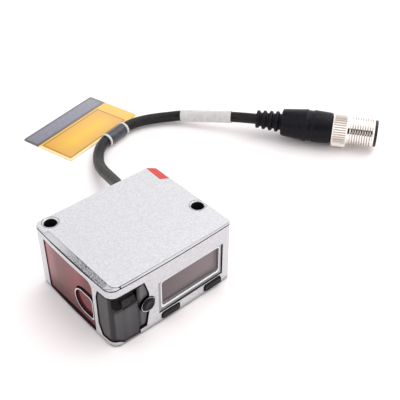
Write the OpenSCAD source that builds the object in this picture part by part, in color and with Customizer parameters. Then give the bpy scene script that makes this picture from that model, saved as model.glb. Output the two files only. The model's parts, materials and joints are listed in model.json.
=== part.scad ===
// Laser photoelectric sensor in a die-cast housing, with its fixed cable, cable tag, marker sleeve
// and M12 plug. The housing lies on its large side: +Z is up, the red window looks along -X, the
// display and the buttons look along -Y, and the cable leaves along +Y.
// The origin is the centre of the housing's base.

/* [Housing] */
// Length along X, from the window side to the rear
body_l = 48; // [43:0.5:60]
// Width along Y, from the display side to the cable side
body_w = 40.5; // [36:0.5:50]
// Height along Z with the cover on
body_h = 25; // [22.5:0.5:32]
// Thickness of the two walls that hold the window and the display
face_t = 2.6; // [2.4:0.1:2.8]
// Thickness of the cable wall and the rear wall
wall_t = 1.8; // [1.4:0.1:2.2]
// Thickness of the floor
floor_t = 1.2; // [0.9:0.1:1.2]
// How far the window side and the display side bow out at their middle
side_bow = 0.5; // [0.2:0.1:0.7]
// Radius of the upright corner between window and display
corner_front_r = 3.2; // [2.4:0.2:4.4]
// Radius of the upright corner between window and cable side
corner_left_r = 1.8; // [1:0.2:2.6]
// Radius of the upright corner between display and rear
corner_right_r = 1.2; // [0.6:0.2:2]
// Length of the cut-off corner between cable side and rear
corner_cut = 2.4; // [1.2:0.2:3]
// Rounding of the bottom edge
base_edge = 0.8; // [0.4:0.1:1.1]

/* [Mounting holes] */
// Diameter of the two through holes, clearance for M4
hole_d = 4.3; // [3.4:0.1:4.6]
// Outside diameter of the bosses that rise through the cover
boss_d = 5.4; // [5:0.1:5.8]
// Bevel at the mouth of each hole
hole_bevel = 0.3; // [0.1:0.05:0.4]
// Distance of the window-side hole behind the window face
hole_a_depth = 4.6; // [4.4:0.1:6]
// Distance of the window-side hole from the cable face
hole_a_inset = 3.05; // [3:0.05:5]
// Distance of the rear hole from the rear face
hole_b_inset = 2.9; // [2.8:0.1:5]
// Distance of the rear hole behind the display face
hole_b_depth = 13.35; // [13:0.05:16]

/* [Cover] */
// Thickness of the cover from its underside to the raised field
cover_t = 0.8; // [0.7:0.1:1.4]
// Height of the seam between housing and cover
seam_h = 0.4; // [0.2:0.05:0.5]
// Height of the raised field over the bevelled band
field_step = 0.22; // [0.1:0.02:0.3]
// Height of the cover's upright outer edge below the bevelled band
cover_edge = 0.16; // [0.1:0.02:0.3]
// Width of the bevelled band along the window side
band_w = 2.1; // [1.5:0.1:3]
// Width of the bevelled band along the display side
band_front_w = 0.4; // [0.3:0.1:1.2]
// Distance from the cable face at which the window-side band ends
band_stop = 5.9; // [5.5:0.1:10]
// Depth of the locating lip under the cover
lip_h = 1.4; // [0.8:0.1:2]
// Width of the red accent inlay
accent_w = 2.4; // [1.6:0.1:2.6]
// Length of the red accent inlay along the rear edge
accent_l = 9.8; // [7:0.2:11]

/* [Window and optics] */
// Thickness of the red window
window_t = 1.3; // [1:0.1:1.4]
// Start of the window, measured from the display face
window_y0 = 9.6; // [9.4:0.1:11]
// Distance of the window's far end from the cable face
window_far = 5; // [4.8:0.1:7.5]
// Lower edge of the window
window_z0 = 1.3; // [1.2:0.1:2.5]
// Distance of the window's upper edge below the top
window_drop = 3.1; // [3:0.1:5]
// Width of the ledge that carries the window
ledge_w = 1.2; // [0.8:0.1:1.6]
// Height of the transmitter axis
beam_z = 10.1; // [9.6:0.1:11]
// Distance of the transmitter axis from the display face
beam_y = 15; // [14.8:0.1:15.4]
// Radius of the bright ring round the transmitter lens
ring_r = 4.7; // [4.2:0.1:5]
// Width of the ring's visible edge
ring_t = 0.45; // [0.3:0.05:0.6]
// Radius of the receiving lens
receive_r = 6.2; // [5:0.1:6.4]
// Wall of the optics block beside the receiving lens
receive_wall = 1.2; // [1:0.1:1.6]
// Height of the receiving axis
receive_z = 11.6; // [10:0.1:12]
// Length of the optics block along X
optics_l = 12.4; // [11:0.2:14]

/* [Display] */
// Start of the display frame behind the window face
frame_x0 = 17.6; // [17.4:0.1:20]
// Distance of the display frame's other end from the rear face
frame_rear = 3.5; // [3.4:0.1:6]
// Lower edge of the display frame
frame_z0 = 4.5; // [4.4:0.1:6]
// Distance of the display frame's upper edge below the top
frame_drop = 7.5; // [7:0.1:9]
// Open gap between the frame's rear end and the housing
frame_gap = 0.45; // [0.2:0.05:0.5]
// Width of the frame at both ends
frame_side = 2; // [1.5:0.1:2.5]
// Width of the frame below the panel
frame_below = 2.7; // [2:0.1:3]
// Width of the frame above the panel
frame_above = 0.8; // [0.6:0.1:1.2]
// Depth of the panel behind the display face
panel_depth = 1.1; // [0.8:0.05:1.2]
// Thickness of the clear panel
panel_t = 1; // [0.8:0.1:1.2]

/* [Buttons] */
// Diameter of the round button
round_d = 4.5; // [4:0.1:4.6]
// Outside diameter of the ring round it
round_ring_d = 5.7; // [5.5:0.1:5.9]
// Centre of the round button behind the window face
round_x = 13.5; // [13.4:0.1:13.7]
// Height of the round button
round_z = 11.6; // [10:0.1:13]
// Width of the two flat buttons
flat_w = 7.4; // [6:0.1:7.8]
// Height of the two flat buttons
flat_h = 2.7; // [2.2:0.1:2.8]
// Height of the middle of the flat buttons
flat_z = 2.6; // [2.6:0.05:2.7]
// Centre of the left flat button behind the window face
flat_a_x = 22.2; // [21.8:0.1:23]
// Distance of the right flat button's centre from the rear face
flat_b_rear = 8; // [7.6:0.1:10]
// How far the flat buttons stand out of the display face
button_proud = 0.4; // [0.2:0.05:0.6]
// How far the round button stands out of the display face
round_proud = 0.9; // [0.6:0.1:1.2]
// How far a button can be pressed
button_travel = 0.3; // [0.2:0.05:0.35]

/* [Indicator cover] */
// Length of the smoked corner cover along the display side
smoke_x = 10; // [9.6:0.1:10.2]
// Length of its side flap behind the window face
smoke_flap_x = 13.9; // [13.4:0.1:14]
// Length of the smoked corner cover along the window side
smoke_y = 7.6; // [7:0.1:7.8]
// Distance of its upper edge below the top
smoke_drop = 4; // [3.6:0.1:5]
// Height of its sloping top facet
smoke_slope_h = 5.8; // [5:0.1:6.4]
// Thickness of its shell
smoke_t = 2.4; // [2.2:0.1:2.6]
// Open gap between the housing and its outline
smoke_gap = 0.2; // [0.1:0.05:0.3]

/* [Cable and plug] */
// Diameter of the cable
cable_d = 4.5; // [4:0.1:4.6]
// Height of the cable exit
exit_z = 11.5; // [9.5:0.5:13]
// Distance of the cable exit from the rear face
exit_inset = 6.4; // [6.4:0.1:8]
// Length of the boot outside the housing
boot_l = 7.5; // [5:0.5:8]
// Diameter of the coupling screw over its knurl
knurl_d = 14.6; // [14.2:0.1:14.6]
// Length of the knurled grip
knurl_l = 6.2; // [5:0.1:8]
// Number of grooves round the grip
knurl_count = 44; // [24:1:60]
// Length of the threaded shell of the coupling screw
thread_l = 10.9; // [9:0.1:13]
// Outside diameter of the threaded shell
thread_d = 11.9; // [11.6:0.1:12]
// Length of the moulded plug body
plug_body_l = 32; // [30:0.5:40]
// Largest diameter of the moulded plug body
plug_d = 13.5; // [13:0.1:13.8]

/* [Hidden] */
$fn = 64;
eps = 0.01;
fit = 0.1;         // gap round an inserted piece
run = 0.15;        // gap round a piece that moves

rim_z = body_h - cover_t - seam_h;     // top of the housing wall
cover_z = rim_z + seam_h;              // underside of the cover
boss_r = boss_d / 2;
boss_low_r = boss_r + 0.6;             // foot of each boss, carries the gasket
groove_h = 0.4;                        // depth of the gasket groove in the rim
groove_in = 0.5;                       // of the groove behind the walls' outer face
groove_w = 0.8;
band_end = body_w - band_stop;         // far end of the window-side band

// Window, optics and the board behind them
window_depth = 0.6;      // depth of the window's face behind the bowed middle of the side
ring_proud = 0.55;       // the bright ring stands out of the window
optics_x = 2.8;          // front of the optics block behind the window face
optics_y0 = 10.1;
optics_y1 = body_w - hole_a_inset - boss_low_r - 0.35;
optics_top = body_h - 4;
window_y1 = body_w - window_far;
window_z1 = body_h - window_drop;
receive_y = optics_y1 - receive_r - receive_wall;
diode_r = 2.8;
board_t = 0.8;
sensor_board_x = optics_x + optics_l + 0.8;

// Display, its board and the buttons in front of it
display_board_y = 6.6;   // front of the display board behind the display face
display_board_x0 = 4;
display_board_x1 = body_l - 3;
display_board_top = body_h - 4.8;
frame_w = body_l - frame_x0 - frame_rear;
frame_h = body_h - frame_z0 - frame_drop;
flat_b_x = body_l - flat_b_rear;
smoke_top = body_h - smoke_drop;
smoke_slope_z = smoke_top - smoke_slope_h;
panel_r = 1.2;
flange_d = face_t + 0.1; // depth of the button flanges at rest
flange_t = 0.6;
switch_h = 1.6;
plunger_h = 0.3;
stem_end = display_board_y - switch_h - plunger_h - button_travel - 0.1;
flap_depth = 0.7;        // depth of the smoked side flap
flap_t = 1.1;
guide_x = 4.6;           // window-side edge of the light guide
guide_w = 4.8;

function fx(d) = -body_l / 2 + d;      // distance behind the window face
function fy(d) = -body_w / 2 + d;      // distance behind the display face
rear_x = body_l / 2;
back_y = body_w / 2;
hole_a = [fx(hole_a_depth), back_y - hole_a_inset];
hole_b = [rear_x - hole_b_inset, fy(hole_b_depth)];

// Main board on its four posts
board_z = 3.4;
main_x0 = sensor_board_x + board_t + 1;
main_y0 = display_board_y + board_t + 2.6;
board_posts = [[fx(main_x0 + 2.6), fy(main_y0 + 2.6)], [rear_x - wall_t - 4, fy(main_y0 + 11.2)],
    [fx(main_x0 + 2.6), back_y - wall_t - 3.4], [rear_x - wall_t - 4, back_y - wall_t - 3.4]];

// Cable, tag and plug
exit_x = rear_x - exit_inset;
boot_r = 3;
cable_r = cable_d / 2;
cable_bore = cable_r + 0.05;
// Route of the cable's middle, from inside the boot to inside the plug, for the default housing
route_points = [
    [17.6, 17.4, 11.5], [17.6, 20.5, 11.5], [17.6, 25, 11.5], [17.6, 28.5, 11.5], [18.3, 33, 10.6],
    [19.9, 37.5, 9.2], [21.2, 42, 7.8], [22.5, 46.8, 6.4], [23.8, 51.5, 5.1], [25.4, 56, 4],
    [27.6, 60.3, 3.2], [30.4, 64.3, 2.9], [34, 67.9, 2.9], [38.4, 70.4, 2.9], [42.4, 71.4, 2.9],
    [46.4, 72.4, 2.9], [50.4, 73.4, 2.9], [54.6, 73.7, 2.9], [58.8, 73, 2.9], [62.8, 71.6, 2.9],
    [66.8, 69.5, 3], [70.6, 67, 3.2], [74.2, 64.1, 3.6], [78.6, 57.9, 4.5], [83, 51.7, 5.4],
    [87.4, 45.5, 6.3], [90.4, 40.7, 6.9], [93, 36.5, 7.3], [94.8, 34, 7.3]];
// The route starts at the exit of any other housing too, and comes down to the same floor
cable_route = [for (k = [0:len(route_points) - 1]) route_points[k]
    + [exit_x - 17.6, back_y - 20.25, (exit_z - 11.5) * max(0, 1 - max(0, k - 3) / 7)]];
tag_from = cable_route[13];
tag_to = cable_route[16];
tag_len = norm(tag_to - tag_from);
tag_l = 43;
tag_w = 27;
tag_t = 0.5;
tag_gap = 5;             // from the cable's middle to the near edge of the card
tag_shift = -1;          // of the card's middle along the cable
ring_w = 1;
ring_start = 0.3;        // of the first ring along the straight stretch
wrap_t = 0.35;
plug_tail = cable_route[27];
plug_yaw = atan2(cable_route[28][1] - plug_tail[1], cable_route[28][0] - plug_tail[0]);
cable_pocket = norm(cable_route[28] - plug_tail) + 0.02;
rib_r = 3.8;
rib_pitch = 2.7;
screw_x0 = plug_body_l + run;
screw_x1 = screw_x0 + knurl_l + thread_l;
screw_bore = 5.05;
carrier_l = 1.15;        // length of the collar past the screw
pin_count = 4;
pin_circle_r = 3.5;
pin_r = 0.5;
disc_x = plug_body_l + 4;
disc_l = 6.5;

housing_gray = [0.80, 0.80, 0.82];
board_green = [0.06, 0.30, 0.16];

// The plan is drawn with two bowed sides, two straight sides, three round corners and one cut
// corner. Each bowed side is an arc of a very large circle, and each round corner touches its
// two sides from inside. i is the inset from the housing's outside.
function bow_r(side) = (pow(side / 2, 2) + side_bow * side_bow) / (2 * side_bow);
window_bow_r = bow_r(body_w);
display_bow_r = bow_r(body_l);
window_bow_x = fx(window_bow_r);
display_bow_y = fy(display_bow_r);
function on_window_bow(r, y) = window_bow_x - sqrt(pow(window_bow_r - r, 2) - y * y);
function on_display_bow(r, x) = display_bow_y - sqrt(pow(display_bow_r - r, 2) - x * x);
function front_centre(r, x, n) = let (y = on_display_bow(r, x))
    n == 0 ? [x, y] : front_centre(r, on_window_bow(r, y), n - 1);
function arc(c, r, a0, a1, n) = [for (k = [0:n]) let (a = a0 + (a1 - a0) * k / n)
    [c[0] + r * cos(a), c[1] + r * sin(a)]];
function inner(points) = [for (k = [1:len(points) - 2]) points[k]];
function plan_points(i) =
    let (r0 = max(corner_front_r, i + 0.3), r1 = max(corner_left_r, i + 0.3),
        r2 = max(corner_right_r, i + 0.3), c0 = front_centre(r0, fx(r0), 3),
        c1 = [on_window_bow(r1, back_y - r1), back_y - r1],
        c2 = [rear_x - r2, on_display_bow(r2, rear_x - r2)],
        w0 = 180 - atan2(c0[1], window_bow_x - c0[0]), w1 = 180 - atan2(c1[1], window_bow_x - c1[0]),
        d0 = 270 + atan2(c0[0], display_bow_y - c0[1]), d1 = 270 + atan2(c2[0], display_bow_y - c2[1]),
        cut = corner_cut + 0.414 * i)
    concat(
        arc(c0, r0 - i, w0, d0, 8),
        inner(arc([0, display_bow_y], display_bow_r - i, d0, d1, 10)),
        arc(c2, r2 - i, d1, 360, 5),
        [[rear_x - i, back_y - cut], [rear_x - cut, back_y - i]],
        arc(c1, r1 - i, 90, w1, 6),
        inner(arc([window_bow_x, 0], window_bow_r - i, w1, w0, 10)));
module plan(i = 0) { polygon(plan_points(i)); }

// Shell between insets of the plan at given heights: levels are [height, inset]
module loft(levels) {
    n = len(plan_points(0));
    last = len(levels) - 1;
    points = [for (v = levels) each [for (p = plan_points(v[1])) [p[0], p[1], v[0]]]];
    polyhedron(points, concat(
        [[for (k = [0:n - 1]) k]],
        [[for (k = [n - 1:-1:0]) last * n + k]],
        [for (m = [0:last - 1], k = [0:n - 1]) [m * n + k, (m + 1) * n + k, m * n + (k + 1) % n]],
        [for (m = [0:last - 1], k = [0:n - 1])
            [m * n + (k + 1) % n, (m + 1) * n + k, (m + 1) * n + (k + 1) % n]]));
}
// Thin or thick slice of the plan from height z up
module slice(z, i, h = eps) { translate([0, 0, z]) linear_extrude(h) plan(i); }

// Waste outside a rounded corner at the local origin, the corner's sides along +X and +Y
module corner_waste(r) {
    difference() {
        translate([-2, -2]) square(r + 2);
        translate([r, r]) circle(r);
    }
}

// Rectangle with four equal round corners, from its lower left corner
module soft_rect(w, h, r) {
    translate([r, 0]) square([w - 2 * r, h]);
    translate([0, r]) square([w, h - 2 * r]);
    for (x = [r, w - r], y = [r, h - r]) translate([x, y]) circle(r);
}

// Extrusion towards the inside of a shape drawn on the display face: its X runs behind the
// window face and its Y is the height. It starts at depth d.
module from_display(d, t) {
    translate([fx(0), fy(d + t), 0]) rotate([90, 0, 0]) linear_extrude(t) children();
}

// Extrusion towards the inside of a shape drawn on the window face: its X runs behind the
// display face and its Y is the height. It starts at depth d.
module from_window(d, t) {
    translate([fx(d), fy(0), 0]) rotate([90, 0, 90]) linear_extrude(t) children();
}

// Cylinder along X whose end is d behind the window face, at y and z on that face
module bore_x(d, t, r, y, z) { from_window(d, t) translate([y, z]) circle(r); }

// Upright round post or hole at a point of the plan
module post(p, r, z0, z1) { translate([p[0], p[1], z0]) cylinder(r = r, h = z1 - z0); }

module inner_plan(gap = 0, r = 1.2) {
    translate([fx(face_t + gap), fy(face_t + gap)])
        soft_rect(body_l - face_t - wall_t - 2 * gap, body_w - face_t - wall_t - 2 * gap, r);
}

// The parts of the indicator cover's outline that the display side and the window side show
module smoke_display_outline(g) {
    polygon([[-2, 2.4 - g], [2.6, 2.4 - g], [4.6, 1 - g], [smoke_x + g, 0.9 - g],
        [smoke_x + g, smoke_top + g], [-2, smoke_top + g]]);
}
module smoke_window_outline(g) {
    polygon([[-2, 0], [smoke_y - 1.5 + g, 0], [smoke_y - 1.5 + g, 2.4 - g],
        [smoke_y + g, 6.6 - g], [smoke_y + g, smoke_top - 3.4 + g],
        [smoke_y - 1.1 + g, smoke_top + g], [-2, smoke_top + g]]);
}
module smoke_flap_outline(g) {
    polygon([[smoke_x - 1, 2.6 - g], [smoke_flap_x - 1.4 + g, 2.6 - g], [smoke_flap_x + g, 9.5],
        [smoke_flap_x + g, smoke_top - 5], [smoke_flap_x - 1.5 + g, smoke_top + g],
        [smoke_x - 1, smoke_top + g]]);
}

// The corner block that the indicator cover fills, grown by g on the sides that meet the housing
module smoke_block(g, depth) {
    intersection() {
        from_display(-1, 13) smoke_display_outline(g);
        from_window(-1, 14) smoke_window_outline(g);
        difference() {
            translate([fx(-1), fy(-1), 0]) cube([smoke_x + g + 1, smoke_y + g + 1, body_h]);
            translate([0, 0, -1]) linear_extrude(body_h + 2) plan(depth);
        }
    }
}
module button_ring_hole(g) {
    from_display(-1, face_t + 2) translate([round_x, round_z]) circle(round_ring_d / 2 + g);
}

// Boss of each through hole up to z, kept inside the walls' outer half
module boss_feet(z) {
    intersection() {
        union() for (p = [hole_a, hole_b]) post(p, boss_low_r, base_edge, z);
        linear_extrude(body_h) plan(0.4);
    }
}

module housing() color(housing_gray) {
    difference() {
        union() {
            difference() {
                union() {
                    difference() {
                        loft([[0, base_edge], [base_edge * 0.12, base_edge * 0.5],
                            [base_edge * 0.5, base_edge * 0.12], [base_edge, 0], [rim_z, 0]]);
                        translate([0, 0, floor_t]) linear_extrude(body_h) inner_plan();
                    }
                    boss_feet(rim_z - 0.1);
                }
                // Gasket groove in the rim, with a seat round each boss
                translate([0, 0, rim_z - groove_h]) linear_extrude(groove_h + 1) difference() {
                    plan(groove_in - 0.05);
                    plan(groove_in + groove_w + 0.05);
                }
                for (p = [hole_a, hole_b]) intersection() {
                    post(p, boss_low_r + 0.2, rim_z - groove_h, body_h);
                    linear_extrude(body_h + 1) plan(groove_in - 0.05);
                }
            }
            // Upper part of the bosses, flush with the raised field of the cover
            for (p = [hole_a, hole_b]) post(p, boss_r, base_edge + 0.5, body_h);
            // Posts under the main board
            for (p = board_posts) post(p, 2, floor_t - eps, board_z);
            // Ribs that hold the foot of the display board
            for (x = [fx(18), fx(31)], d = [display_board_y - 1.3, display_board_y + board_t + 0.1])
                translate([x, fy(d), floor_t - eps]) cube([1.4, 1.2, 1.6]);
        }
        // Through holes with a bevel at each mouth
        for (p = [hole_a, hole_b]) {
            post(p, hole_d / 2, -1, body_h + 1);
            translate([p[0], p[1], body_h - hole_bevel])
                cylinder(r1 = hole_d / 2, r2 = hole_d / 2 + hole_bevel + eps, h = hole_bevel + eps);
            translate([p[0], p[1], -eps])
                cylinder(r1 = hole_d / 2 + hole_bevel + eps, r2 = hole_d / 2, h = hole_bevel + eps);
        }
        for (p = board_posts) post(p, 0.8, floor_t, board_z + 1);
        // Window pocket and the opening inside its ledge
        from_window(-1, window_depth + window_t + 1) window_outline(fit);
        from_window(-1, face_t + 2) window_outline(-ledge_w);
        // Display opening, button openings and the ring's seat
        from_display(-1, face_t + 2) translate([frame_x0, frame_z0]) square([frame_w, frame_h]);
        for (x = [flat_a_x, flat_b_x]) from_display(-1, face_t + 2)
            translate([x - flat_w / 2 - run, flat_z - flat_h / 2 - run])
                soft_rect(flat_w + 2 * run, flat_h + 2 * run, 0.9 + run);
        button_ring_hole(0);
        // Corner opening and the shallow pocket of the side flap
        smoke_block(smoke_gap, smoke_t + 3);
        from_display(-1, 1 + flap_depth + flap_t + fit) smoke_flap_outline(smoke_gap);
        // Cable exit
        translate([exit_x, back_y - wall_t - 1, exit_z]) rotate([-90, 0, 0])
            cylinder(r = boot_r, h = wall_t + 2);
    }
}

module window_outline(g) {
    x0 = window_y0 - g;
    x1 = window_y1 + g;
    z0 = window_z0 - g;
    z1 = window_z1 + g;
    difference() {
        translate([x0, z0]) square([x1 - x0, z1 - z0]);
        translate([x0, z1]) mirror([0, 1]) corner_waste(2.4 + g);
        translate([x0, z0]) corner_waste(0.8);
        translate([x1, z0]) mirror([1, 0]) corner_waste(0.8);
        translate([x1, z1]) mirror([1, 0]) mirror([0, 1]) corner_waste(0.8);
    }
}

// Outline of the bright ring on the window: round towards the middle of the window and cut
// straight along the window's front edge
module ring_outline(g) {
    r = ring_r + g;
    cut_y = window_y0 + 0.15 - g;
    intersection() {
        union() {
            translate([beam_y, beam_z]) circle(r);
            translate([cut_y, beam_z - r]) square([beam_y - cut_y, 2 * r]);
        }
        translate([cut_y, beam_z - r]) soft_rect(beam_y - cut_y + r, 2 * r, 1.4);
    }
}

// Gasket in the groove of the rim, with a washer round each boss
module cover_gasket() color([0.08, 0.08, 0.08])
    translate([0, 0, rim_z - groove_h]) linear_extrude(groove_h + seam_h) difference() {
        union() {
            difference() {
                plan(groove_in);
                plan(groove_in + groove_w);
            }
            intersection() {
                for (p = [hole_a, hole_b]) translate(p) circle(boss_low_r + 0.1);
                plan(groove_in);
            }
        }
        for (p = [hole_a, hole_b]) translate(p) circle(boss_r + 0.05);
    }

// Raised field of the cover: it keeps back from the bevelled bands and wraps round the hole
module field_plan() {
    difference() {
        plan(0.2);
        translate([fx(-1), fy(-1)]) square([band_w + 1, band_end + 1 - 0.8]);
        translate([fx(-1), fy(band_end - 1)]) square([band_w + 1 - 0.8, 1]);
        translate([fx(band_w - 0.8), fy(band_end - 0.8)]) circle(0.8);
        translate([fx(-1), fy(-1)]) square([body_l + 2, band_front_w + 1]);
        translate([fx(band_w), fy(band_front_w)]) corner_waste(2.4);
    }
}
// Slanted strip along the rear edge, by the cut-off corner
module accent_plan(g) {
    x = rear_x - 0.35;
    y = back_y - corner_cut + 0.15;
    polygon([[x - accent_w - g, y + 1.9 + g], [x + g, y + g * 0.5], [x - 0.3 + g, y - accent_l + 2.2 - g],
        [x - accent_w - 0.35 - g, y - accent_l + 3.9 - g]]);
}

module top_cover() color(housing_gray) {
    difference() {
        union() {
            hull() {
                slice(cover_z, 0, cover_edge);
                intersection() {
                    slice(body_h - field_step, 0.3);
                    translate([fx(band_w), fy(band_front_w), 0]) cube([body_l, body_w, body_h + 1]);
                }
            }
            translate([0, 0, cover_z]) linear_extrude(cover_t) field_plan();
            // Locating lip inside the walls
            translate([0, 0, cover_z - lip_h]) linear_extrude(lip_h + eps) difference() {
                inner_plan(0.15, 1.1);
                inner_plan(1.15, 0.4);
                for (p = [hole_a, hole_b]) translate(p) circle(boss_low_r + 0.15);
            }
        }
        for (p = [hole_a, hole_b]) post(p, boss_r + run, 0, body_h + 1);
        translate([0, 0, rim_z]) linear_extrude(body_h) accent_plan(fit);
        // Small lifting notch in the front edge, by the front corner
        translate([fx(4), fy(-1), rim_z]) cube([0.5, band_front_w + 1.2, cover_t + seam_h + 1]);
    }
}

module accent_inlay() color([0.85, 0.12, 0.10]) {
    translate([0, 0, cover_z]) linear_extrude(cover_t) intersection() {
        accent_plan(0);
        plan(0.25);
    }
}

module front_window() color([0.45, 0.08, 0.08, 0.7]) {
    difference() {
        from_window(window_depth, window_t) window_outline(0);
        // The ring's slot is a little taller than the ring
        from_window(-1, face_t + 2) {
            ring_outline(fit);
            translate([0, 0.5]) ring_outline(fit);
        }
    }
}

module lens_ring() color([0.82, 0.82, 0.84]) {
    from_window(window_depth - ring_proud, window_t + ring_proud - 0.02) difference() {
        ring_outline(0);
        ring_outline(-ring_t);
    }
}

module transmit_lens() color([0.75, 0.12, 0.12, 0.6]) {
    from_window(window_depth + 0.15, window_t - 0.17) ring_outline(-ring_t - 0.05);
}

module optics_block() color([0.12, 0.12, 0.13]) {
    difference() {
        from_window(optics_x, optics_l) translate([optics_y0, floor_t])
            square([optics_y1 - optics_y0, optics_top - floor_t]);
        // Stepped bores of the transmitter and the receiver
        bore_x(optics_x - 1, 6.2, 3.9, beam_y, beam_z);
        bore_x(optics_x, optics_l + 1, 2.3, beam_y, beam_z);
        bore_x(optics_x + optics_l - 2.3, 3, diode_r + 0.05, beam_y, beam_z);
        bore_x(optics_x - 1, 4.6, receive_r + 0.05, receive_y, receive_z);
        bore_x(optics_x, optics_l + 1, receive_r - 0.8, receive_y, receive_z);
    }
}

module receive_lens() color([0.70, 0.20, 0.20, 0.6]) {
    cap_r = 12;
    lens_t = 3;
    x0 = optics_x + 3.6;
    // Flat face towards the detector, spherical cap towards the window
    intersection() {
        bore_x(x0 - lens_t, lens_t, receive_r, receive_y, receive_z);
        translate([fx(x0 - lens_t + cap_r), fy(receive_y), receive_z]) sphere(cap_r);
    }
}

module laser_diode() color([0.78, 0.66, 0.35]) {
    x1 = optics_x + optics_l - 2.3;
    bore_x(x1, 1.2, diode_r, beam_y, beam_z);
    bore_x(x1 - 2.4, 2.5, 2.2, beam_y, beam_z);
    for (a = [90, 210, 330]) translate([0, 1.27 * cos(a), 1.27 * sin(a)])
        bore_x(x1 + 1.1, sensor_board_x - x1 - 1.1, 0.225, beam_y, beam_z);
}

module image_sensor() color([0.10, 0.12, 0.16]) {
    from_window(sensor_board_x - 1.2, 1.2) translate([receive_y - 3, receive_z - 2]) square([6, 4]);
}

module sensor_board() color(board_green) {
    from_window(sensor_board_x, board_t) translate([optics_y0 + 0.4, floor_t])
        square([optics_y1 - optics_y0 - 0.7, optics_top - floor_t - 1.2]);
}

module main_board() color(board_green) {
    translate([0, 0, board_z]) linear_extrude(board_t) difference() {
        translate([fx(main_x0), fy(main_y0)])
            square([rear_x - wall_t - 0.6 - fx(main_x0), back_y - wall_t - 0.6 - fy(main_y0)]);
        translate(hole_b) circle(boss_low_r + 0.5);
        for (p = board_posts) translate(p) circle(1.1);
    }
}

module board_screws() color([0.75, 0.75, 0.76]) {
    for (p = board_posts) {
        post(p, 0.75, board_z - 1.8, board_z + board_t + 0.2);
        difference() {
            post(p, 1.8, board_z + board_t, board_z + board_t + 1.1);
            post(p, 0.7, board_z + board_t + 0.6, board_z + board_t + 2);
        }
    }
}

module board_chips() color([0.12, 0.12, 0.13]) {
    top = board_z + board_t;
    left = fx(main_x0);
    // Each package: left edge, distance behind the board's front edge, width, depth and height
    for (c = [[left + 5, 4, 6, 6, 1], [rear_x - 14.2, 2.6, 4.5, 5.6, 1.4], [left + 7, 14, 8, 5, 1.6],
            [rear_x - 12.2, 10, 3, 3, 2]])
        translate([c[0], fy(main_y0 + c[1]), top]) cube([c[2], c[3], c[4]]);
}

module display_board() color(board_green) {
    from_display(display_board_y, board_t) translate([display_board_x0, floor_t])
        square([display_board_x1 - display_board_x0, display_board_top - floor_t]);
}

module display_module() color([0.30, 0.28, 0.28]) {
    from_display(panel_depth + panel_t, display_board_y - panel_depth - panel_t)
        translate([frame_x0 + 1.6, frame_z0 + 2.2]) square([frame_w - 3.2, frame_h - 3.2]);
}

module display_panel() color([0.45, 0.40, 0.40, 0.7]) {
    from_display(panel_depth, panel_t) translate([frame_x0 + 1.3, frame_z0 + 1.9])
        soft_rect(frame_w - 2.6, frame_h - 2.4, 0.5);
}

// Outline of the opening that shows the panel, grown by g
module panel_outline(g) {
    translate([frame_x0 + frame_side - g, frame_z0 + frame_below - g])
        soft_rect(frame_w - 2 * frame_side + 2 * g, frame_h - frame_below - frame_above + 2 * g,
            panel_r + g * 0.6);
}
module display_frame() color([0.62, 0.63, 0.64]) {
    depth = 0.15;
    low_gap = 0.25;
    left_gap = 0.15;
    difference() {
        from_display(depth, face_t - depth) translate([frame_x0 + left_gap, frame_z0 + low_gap])
            square([frame_w - frame_gap - left_gap, frame_h - low_gap - 0.05]);
        // Sloping funnel from the frame's face down to the panel
        hull() {
            from_display(depth - 0.02, eps) translate([frame_x0 + 0.55, frame_z0 + 0.7])
                soft_rect(frame_w - frame_gap - 0.9, frame_h - 1, 0.8, $fn = 32);
            from_display(panel_depth - 0.25, 0.3) panel_outline(0, $fn = 32);
        }
        from_display(-1, face_t + 2) panel_outline(0);
        from_display(panel_depth, face_t) translate([frame_x0 + 1.25, frame_z0 + 1.85])
            soft_rect(frame_w - 2.5, frame_h - 2.3, 0.55);
    }
}

module indicator_cover() color([0.10, 0.10, 0.11, 0.9]) {
    difference() {
        union() {
            intersection() {
                smoke_block(0, smoke_t + 0.3);
                linear_extrude(body_h) smoke_face_plan();
            }
            from_display(flap_depth, flap_t) smoke_flap_outline(0);
        }
        // Scoop along the top of the display side, under the housing's rim
        translate([fx(1.4), 0, 0]) rotate([90, 0, 90]) linear_extrude(smoke_x - 1.4)
            polygon([[fy(-1), smoke_slope_z - 1.6], [fy(0.3), smoke_slope_z - 0.3],
                [fy(0.6), smoke_slope_z + 0.3], [fy(1.7), smoke_slope_z + 1.6],
                [fy(smoke_t), smoke_top - 1.5], [fy(smoke_t), smoke_top + 1], [fy(-1), smoke_top + 1]]);
        button_ring_hole(0.1);
    }
    // Sloping block in the scoop, in front of the light guide
    translate([fx(guide_x), 0, 0]) rotate([90, 0, 90]) linear_extrude(guide_w)
        polygon([[fy(0.45), smoke_slope_z - 0.4], [fy(1.2), smoke_slope_z + 2.4],
            [fy(smoke_t + 0.1), smoke_slope_z + 2.9], [fy(smoke_t + 0.1), smoke_slope_z - 0.4]]);
}

// Outer face of the indicator cover: it follows the housing a little inside, with a narrow
// flat across the corner
module smoke_face_plan() {
    difference() {
        plan(0.3);
        translate([fx(0), fy(0)]) rotate(45)
            square([2 * corner_front_r * (sqrt(2) - 1) + 1.75, 40], center = true);
    }
}

module light_guide() color([0.85, 0.85, 0.85, 0.8]) {
    y0 = smoke_t + side_bow + 0.4;
    z0 = 12;
    h = smoke_top - 0.6 - z0;
    translate([fx(guide_x), fy(y0), z0]) difference() {
        cube([guide_w, 5.2 - y0, h]);
        translate([-1, -0.01, h - 1.8]) rotate([-35, 0, 0]) translate([0, -4, 0])
            cube([guide_w + 2, 4, 6]);
    }
}

module indicator_leds() color([0.90, 0.90, 0.80]) {
    for (x = [guide_x + 0.4, guide_x + 2.6]) from_display(5.2, display_board_y - 5.2)
        translate([x, 15]) square([1.8, 2.2]);
}

module button_stem(x, z, r) {
    from_display(flange_d, stem_end - flange_d) translate([x, z]) circle(r);
}

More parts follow.
